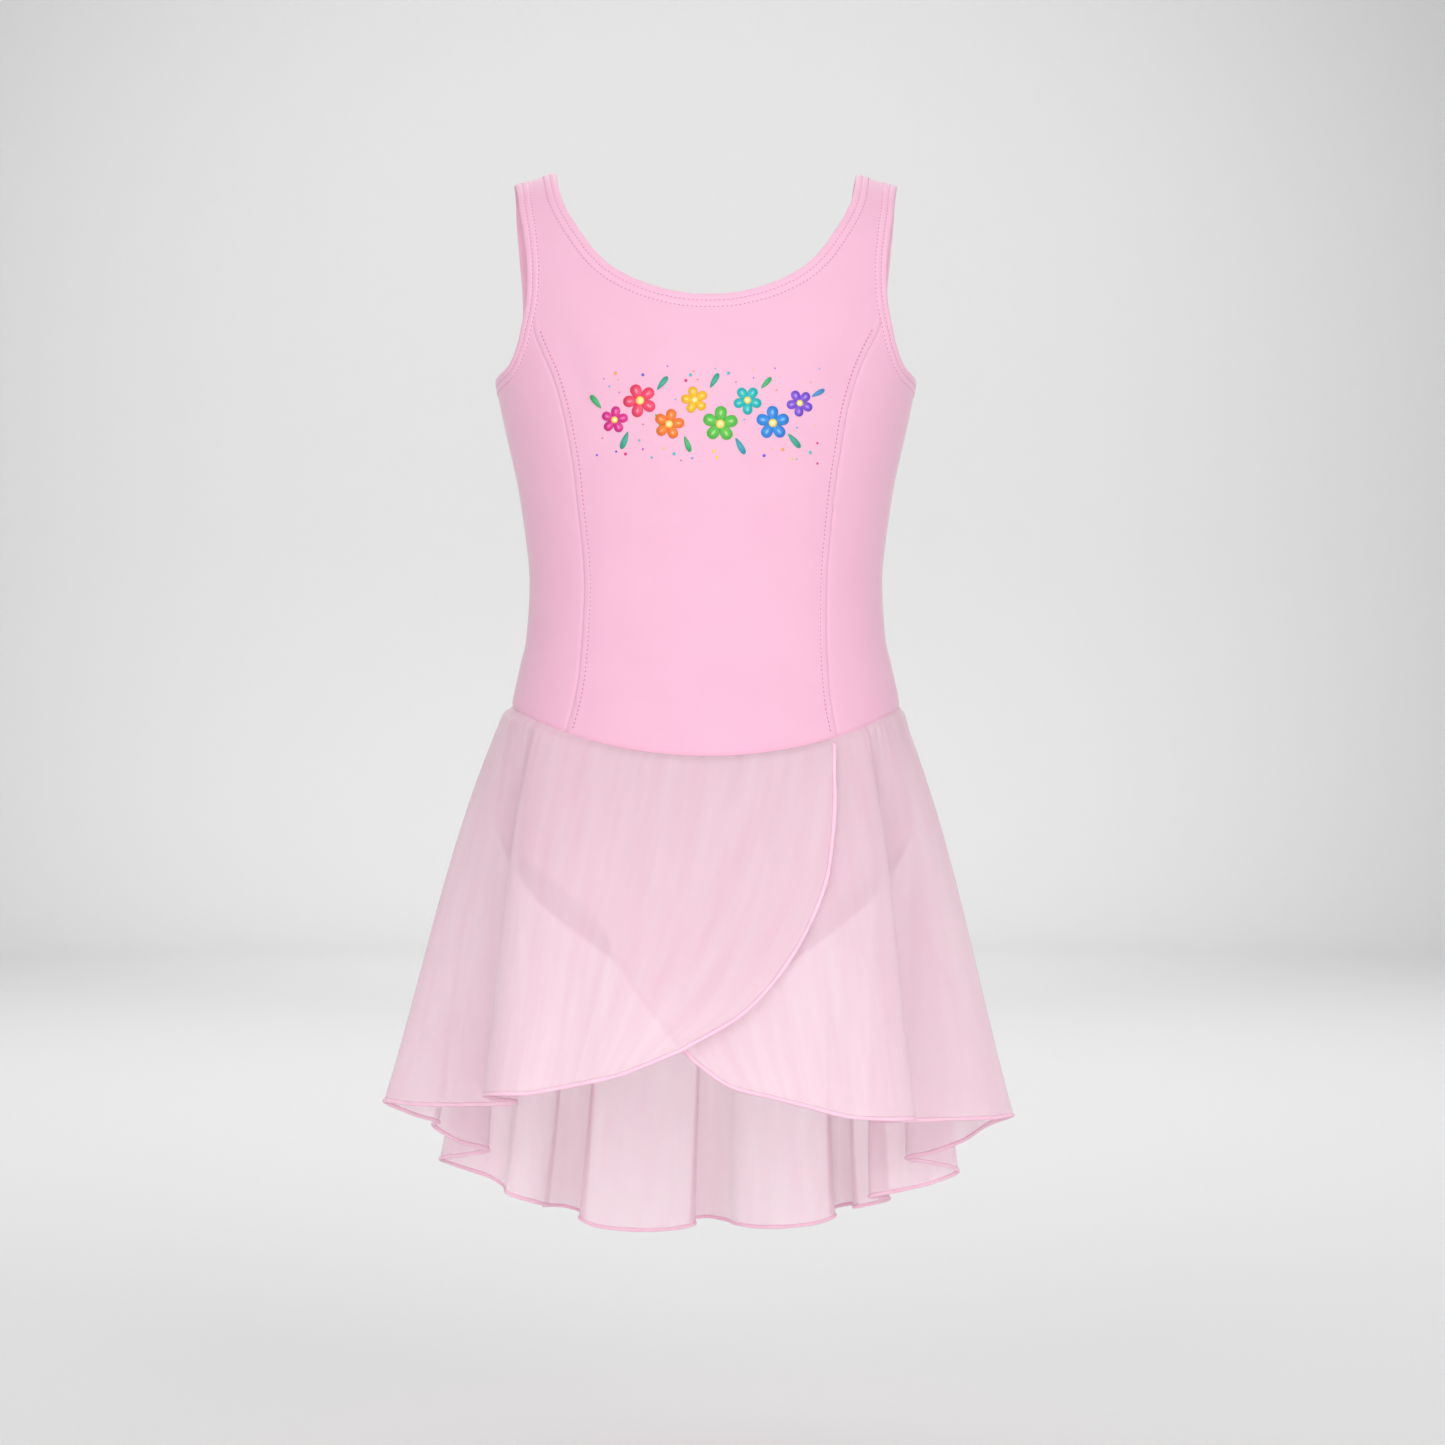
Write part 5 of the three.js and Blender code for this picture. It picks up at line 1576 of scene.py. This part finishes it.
@dataclass
class WrapSkirt:
    """The chiffon skirt in one piece, over edge round the back to under edge, and its rolled hem.

    bulge_scale brings the bulge's curve to a peak of one. tuck_depth and tuck_reach say how far the top edge
    goes in under the knit and how soon that fades. pattern_radius turns the seam angle to pattern metres.
    """

    form: TorsoForm
    lines: CutLines
    finish: ClothFinish
    hem_finish: ClothFinish
    over_offset: float = 3.0 * MM
    under_offset: float = 1.2 * MM
    layer_change: tuple[float, float] = (60.0, 200.0)
    bulge_side: float = 5 * MM
    bulge_back: float = 12 * MM
    edge_fade: float = 62.0
    below_seam: float = 0.15 * MM
    row_bunching: float = 1.3
    bulge_scale: float = 6.75
    tuck_depth: float = 0.8 * MM
    tuck_reach: float = 2.4 * MM
    pattern_radius: float = 0.13
    column_steps: int = 620
    row_steps: int = 54
    thickness: float = 0.35 * MM
    hem_half_width: float = 1.2 * MM
    hem_half_thick: float = 0.85 * MM
    hem_sides: int = 10
    hem_spacing: float = 1.6 * MM
    hem_overlap: float = 0.1 * MM
    ripple: float = 0.3 * MM

    def seam_frame(self, seam: np.ndarray) -> tuple[Points, Points, Points]:
        """The waist seam at angles, the same stood off the knit by layer, and the form's normals."""
        turn = np.radians(seam)
        across = np.arccos(np.clip(-np.sin(turn), -1, 1)) * self.form.chart_radius
        front = self.lines.waist(across, Face.FRONT)
        back = self.lines.waist(across, Face.BACK)
        places = np.where((np.cos(turn) >= 0)[:, None], front, back)
        places[:, 1] += self.below_seam
        found = self.form.frame(places)
        share = smoothstep(seam, *self.layer_change)
        offset = self.over_offset + (self.under_offset - self.over_offset) * share
        return found.point, found.point + found.normal * offset[:, None], found.normal

    def columns(self) -> tuple[np.ndarray, Points]:
        """Seam angles and hem points of the columns, spaced evenly along hem and waist together."""
        table = np.array(SKIRT_HEM, dtype=float)
        hem = SmoothCurve(table[:, 1:] * MM)
        spots = np.linspace(0, len(table) - 1, 6000)
        seam = self._seam_angles(table[:, 0], spots)
        low = hem.at(spots / (len(table) - 1))
        steps = np.hypot(np.linalg.norm(np.diff(low, axis=0), axis=1), np.diff(seam) * 2.2 * MM)
        lengths = np.concatenate([[0.0], np.cumsum(steps)])
        chosen = np.linspace(0, lengths[-1], self.column_steps + 1)
        at = np.interp(chosen, lengths, spots)
        return self._seam_angles(table[:, 0], at), hem.at(at / (len(table) - 1))

    def _seam_angles(self, angles: np.ndarray, spots: np.ndarray) -> np.ndarray:
        """Seam angles between the table's rows, smooth and never turning back."""
        gaps = np.diff(angles)
        inner = 2 * gaps[1:] * gaps[:-1] / (gaps[1:] + gaps[:-1])
        slopes = np.concatenate([[gaps[0]], inner, [gaps[-1]]])
        index = np.minimum(spots.astype(int), len(gaps) - 1)
        t = spots - index
        return (
            angles[index] * (2 * t**3 - 3 * t**2 + 1)
            + slopes[index] * (t**3 - 2 * t**2 + t)
            + angles[index + 1] * (3 * t**2 - 2 * t**3)
            + slopes[index + 1] * (t**3 - t**2)
        )

    def surface(self) -> tuple[Points, np.ndarray, Points]:
        """The cloth's points, its pattern coordinates and its outward normals."""
        seam, low = self.columns()
        on_form, top, top_normal = self.seam_frame(seam)
        shares = even(self.row_steps) ** self.row_bunching
        over = SmoothCurve(np.vstack([top[:1], np.array(OVER_EDGE) * MM, low[:1]])).at_length(shares)
        under = SmoothCurve(np.vstack([top[-1:], np.array(UNDER_EDGE) * MM, low[-1:]])).at_length(shares)
        v = shares[:, None, None]
        straight = top + (low - top) * v
        over_part = np.maximum(0.0, 1 - (seam - seam[0]) / self.edge_fade) ** 2
        under_part = np.maximum(0.0, 1 - (seam[-1] - seam) / self.edge_fade) ** 2
        turn = np.radians(seam)
        swell = self.bulge_side + (self.bulge_back - self.bulge_side) * np.maximum(0.0, -np.cos(turn))
        out = np.column_stack([-np.sin(turn), -np.cos(turn), np.zeros_like(turn)])
        bulge = (swell * (1 - over_part) * (1 - under_part))[:, None] * self.bulge_scale * v * (1 - v) ** 2
        points = (
            straight
            + out * bulge
            + (over - straight[:, 0])[:, None] * over_part[:, None]
            + (under - straight[:, -1])[:, None] * under_part[:, None]
        )
        drop = shares[:, None] * np.linalg.norm(low - top, axis=1)
        normals = grid_normals(points)
        normals *= np.sign((normals[2] * top_normal).sum(axis=1).mean())
        points = points + normals * self.gathers(seam, drop)[..., None]
        tuck = np.linalg.norm(top - on_form, axis=1) + self.tuck_depth
        points = points - top_normal * (tuck * np.exp(-((drop / self.tuck_reach) ** 2)))[..., None]
        pattern = np.stack([np.broadcast_to(turn * self.pattern_radius, drop.shape), drop], axis=-1)
        return points, pattern, normals

    def gathers(self, seam: np.ndarray, drop: np.ndarray) -> np.ndarray:
        """Heights of the puckers that the seam's fullness makes, fading down the cloth."""
        fine = np.cos(seam * 1.93 + 0.6) + 0.7 * np.cos(seam * 1.31 + 2.1) + 0.5 * np.cos(seam * 2.71 + 4.0)
        uneven = 0.55 + 0.45 * np.cos(seam * 0.17 + 1.0) * np.cos(seam * 0.071)
        height = self.ripple * fine * uneven * np.exp(-drop / (16 * MM))
        for gather in GATHERS:
            shape = np.exp(-(((seam - gather.seam) / gather.width) ** 2))
            height = height - gather.depth * MM * shape * np.exp(-drop / (gather.reach * MM))
        return height * smoothstep(drop, 0.0, 2.5 * MM)

    def build(self) -> None:
        """Builds the cloth and its rolled hem."""
        points, pattern, normals = self.surface()
        cloth = Sheet("cloth_skirt", points, pattern, normals).build()
        thickened(cloth, self.thickness, 0.0)
        dress(cloth, self.finish.material(), "skirt")
        hem = self.rolled_hem(points, normals)
        log.info("%s: %d faces", cloth.name, len(cloth.data.polygons))

    def rolled_hem(self, points: Points, normals: Points) -> bpy.types.Object:
        """The rolled edge: cloth turned into a cord under overlock thread, all round the free edge."""
        begin = 2
        inner = [points[begin:-1, 1] - points[begin:-1, 0], points[-2] - points[-1],
                 points[-2:begin - 1:-1, -2] - points[-2:begin - 1:-1, -1]]
        path = np.vstack([points[begin:-1, 0], points[-1], points[-2:begin - 1:-1, -1]])
        upward = np.vstack([normals[begin:-1, 0], normals[-1], normals[-2:begin - 1:-1, -1]])
        lengths = np.concatenate([[0.0], np.cumsum(np.linalg.norm(np.diff(path, axis=0), axis=1))])
        spots = np.linspace(0, lengths[-1], round(lengths[-1] / self.hem_spacing) + 1)
        curve = SmoothCurve(path)
        curve_shares = np.interp(spots, lengths, np.linspace(0, 1, len(path)))
        path = curve.at(curve_shares)
        upward = unit(np.column_stack([np.interp(spots, lengths, c) for c in upward.T]))
        inward = np.column_stack([np.interp(spots, lengths, c) for c in np.vstack(inner).T])
        along = unit(np.gradient(path, axis=0))
        out = unit(np.cross(along, upward))
        out *= np.where((out * inward).sum(axis=1) > 0, -1.0, 1.0)[:, None]
        centre = path + out * (self.hem_half_width - self.hem_overlap)
        turn = np.linspace(0, 2 * np.pi, self.hem_sides + 1)[:, None, None]
        wave = 1 + 0.07 * np.cos(spots / (7.3 * MM)) + 0.05 * np.cos(spots / (2.9 * MM) + 1.0)
        ring = centre + wave[:, None] * (
            out * self.hem_half_width * np.cos(turn) + upward * self.hem_half_thick * np.sin(turn)
        )
        pattern = np.stack(np.meshgrid(spots, turn.ravel() * MM), axis=-1)
        hem = Sheet("rolled_hem", ring, pattern, ring - centre, False, True).build()
        dress(hem, self.hem_finish.material(), "skirt_hem")
        log.info("%s: %.0f mm long", hem.name, lengths[-1] / MM)
        return hem


# The studio
class Lamp(NamedTuple):
    """A studio lamp: where it stands, the point it faces, its spread and its power in watts.

    The spread is a soft lamp's side in metres, or a spot's whole cone in degrees.
    """

    name: str
    place: tuple[float, float, float]
    aim: tuple[float, float, float]
    spread: float
    watts: float


SOFT_LAMPS = [
    Lamp("key lamp", (1.9, -2.9, 0.7), (0.0, 0.0, -0.33), 2.2, 50.0),
    Lamp("fill lamp", (-1.9, -2.9, 0.3), (0.0, 0.0, -0.33), 2.2, 38.0),
    Lamp("low lamp", (0.0, -2.3, -0.55), (0.0, 0.0, -0.4), 0.4, 9.0),
]
# For the background paper. The floor lamp's wide cone also reaches the garment's back
SPOT_LAMPS = [
    Lamp("wall lamp", (0.0, 1.2, 1.9), (0.0, 5.7, 0.3), 62.0, 365.0),
    Lamp("floor lamp", (0.0, 2.3, 3.3), (0.0, 2.3, -0.80), 100.0, 370.0),
]


@dataclass
class Studio:
    """A pale seamless studio, soft light and the camera."""

    target: Vector = field(default_factory=lambda: Vector((10.07 * MM, 0.0, -334 * MM)))
    distance: float = 2.0
    yaw: float = math.radians(1.3)
    frame_width: float = 881 * MM
    sensor: float = 36.0
    floor_z: float = -0.80
    wall_radius: float = 5.7
    bend_radius: float = 0.9
    wall_height: float = 4.2
    paper: str = "DCDCDC"
    air: float = 0.61
    spot_radius: float = 0.3

    def build_stage(self) -> None:
        """A round floor that bends up into a wall all the way round."""
        mesh = bmesh.new()
        heights = [(0.0, self.floor_z), (self.wall_radius - self.bend_radius, self.floor_z)]
        for step in range(1, 13):
            turn = math.pi / 2 * step / 12
            heights.append((
                self.wall_radius - self.bend_radius + self.bend_radius * math.sin(turn),
                self.floor_z + self.bend_radius * (1 - math.cos(turn)),
            ))
        heights.append((self.wall_radius, self.floor_z + self.wall_height))
        verts = [mesh.verts.new((r, 0.0, z)) for r, z in heights]
        edges = [mesh.edges.new(pair) for pair in zip(verts, verts[1:])]
        bmesh.ops.spin(mesh, geom=[*verts, *edges], cent=(0, 0, 0), axis=(0, 0, 1), angle=2 * math.pi,
                       steps=96, use_merge=True)
        bmesh.ops.remove_doubles(mesh, verts=mesh.verts, dist=1e-5)
        bmesh.ops.recalc_face_normals(mesh, faces=mesh.faces)
        smooth_faces(mesh)
        stage = placed("studio_paper", mesh)
        made, tree, shader = new_material("matt background paper")
        shader.inputs["Base Color"].default_value = linear_colour(self.paper)
        shader.inputs["Roughness"].default_value = 0.95
        shader.inputs["Specular IOR Level"].default_value = 0.1
        place = add_node(tree, "ShaderNodeTexCoord")
        pulp = add_node(tree, "ShaderNodeTexNoise", {"Vector": place.outputs["Object"]},
                        Scale=90.0, Detail=4.0)
        add_relief(tree, shader, pulp.outputs["Fac"], 0.25, 1.0)
        stage.data.materials.append(made)

    def stand(self, data: bpy.types.Light, lamp: Lamp) -> None:
        """Gives a light its lamp's power and stands it at its place, facing its aim.

        Args:
            data: The light.
            lamp: The lamp that it is made for.
        """
        data.energy = lamp.watts
        light = bpy.data.objects.new(lamp.name, data)
        light.location = lamp.place
        light.rotation_mode = "QUATERNION"
        light.rotation_quaternion = (Vector(lamp.aim) - Vector(lamp.place)).to_track_quat("-Z", "Y")
        bpy.context.scene.collection.objects.link(light)

    def light(self) -> None:
        """Even light from all round, soft lamps from the front, and a spot each for wall and floor."""
        world = bpy.data.worlds.new("studio air")
        world.use_nodes = True
        background = world.node_tree.nodes["Background"]
        background.inputs["Color"].default_value = (1.0, 1.0, 1.0, 1.0)
        background.inputs["Strength"].default_value = self.air
        bpy.context.scene.world = world
        for lamp in SOFT_LAMPS:
            data = bpy.data.lights.new(lamp.name, "AREA")
            data.shape = "SQUARE"
            data.size = lamp.spread
            self.stand(data, lamp)
        for lamp in SPOT_LAMPS:
            data = bpy.data.lights.new(lamp.name, "SPOT")
            data.spot_size = math.radians(lamp.spread)
            data.spot_blend = 1.0
            data.shadow_soft_size = self.spot_radius
            self.stand(data, lamp)

    def aim_camera(self) -> None:
        """Sets the camera at the photograph's angle and distance."""
        data = bpy.data.cameras.new("camera")
        data.sensor_width = self.sensor
        data.lens = self.sensor * self.distance / self.frame_width
        data.clip_start, data.clip_end = 0.05, 30.0
        camera = bpy.data.objects.new("camera", data)
        away = Vector((math.sin(self.yaw), math.cos(self.yaw), 0.0))
        camera.location = self.target - away * self.distance
        camera.rotation_mode = "QUATERNION"
        camera.rotation_quaternion = away.to_track_quat("-Z", "Y")
        bpy.context.scene.collection.objects.link(camera)
        bpy.context.scene.camera = camera

    def build(self) -> None:
        """Builds the stage, the lamps and the camera."""
        self.build_stage()
        self.light()
        self.aim_camera()
        bpy.context.scene.view_settings.view_transform = "Standard"
        bpy.context.scene.cycles.transparent_max_bounces = 32


# Dyed and left matt: ribs drawn coarser than a real fine knit's, and a sheen that pales the turned sides
KNIT = ClothFinish("pink nylon and elastane knit", light="E8B3CA", deep="E4ACC6", thread_mm=0.9,
                   relief_mm=0.05, sheen=0.5)
# The same knit over elastic, a little paler than the panels
EDGE = ClothFinish("pink knit over elastic", light="EAB6CD", deep="E6AEC8", thread_mm=0.9,
                   relief_mm=0.05, sheen=0.5)
# Half see-through, with faint streaks of painted fold shade down the cloth and a grain drawn coarser than
# real chiffon's
CHIFFON = ClothFinish("pale pink polyester chiffon", light="FFE1EC", deep="FCD4E3", thread_mm=0.8,
                      relief_mm=0.03, roughness=0.75, sheen=0.35, alpha=0.5, ribs=False, fold_shade_mm=12.0,
                      scatter=0.5)
# Cloth rolled in and overlocked: a dense line, pinker than the chiffon, that draws the skirt's edge
ROLLED = ClothFinish("rolled chiffon under pink overlock thread", light="F8CFE0", deep="F2BCD4",
                     thread_mm=0.8, relief_mm=0.15, mottle_mm=12.0, roughness=0.6, sheen=0.2)
# Darker than the cloth: the thread's own pink deepened by painted shade of the sunk stitches, so that the
# rows of stitches show as fine dotted lines
THREAD = ThreadFinish("pink sewing thread with painted stitch shade", colour="C97AA5")


def main() -> None:
    """Builds the garment piece by piece, then the studio."""
    logging.basicConfig(level=logging.INFO, format="%(name)s: %(message)s")
    form = TorsoForm(TORSO)
    lines = CutLines(form)
    panels = KnitPanels(form, lines, KNIT)
    panels.front_centre()
    for side in Side:
        panels.front_side(side)
    panels.back()
    for face in Face:
        panels.brief(face)
    EdgeBands(panels, EDGE, THREAD).build_all()
    Topstitching(panels, THREAD).build()
    ChestPrint(form, PrintInk()).build()
    WrapSkirt(form, lines, CHIFFON, ROLLED).build()
    Studio().build()


if __name__ == "__main__":
    main()
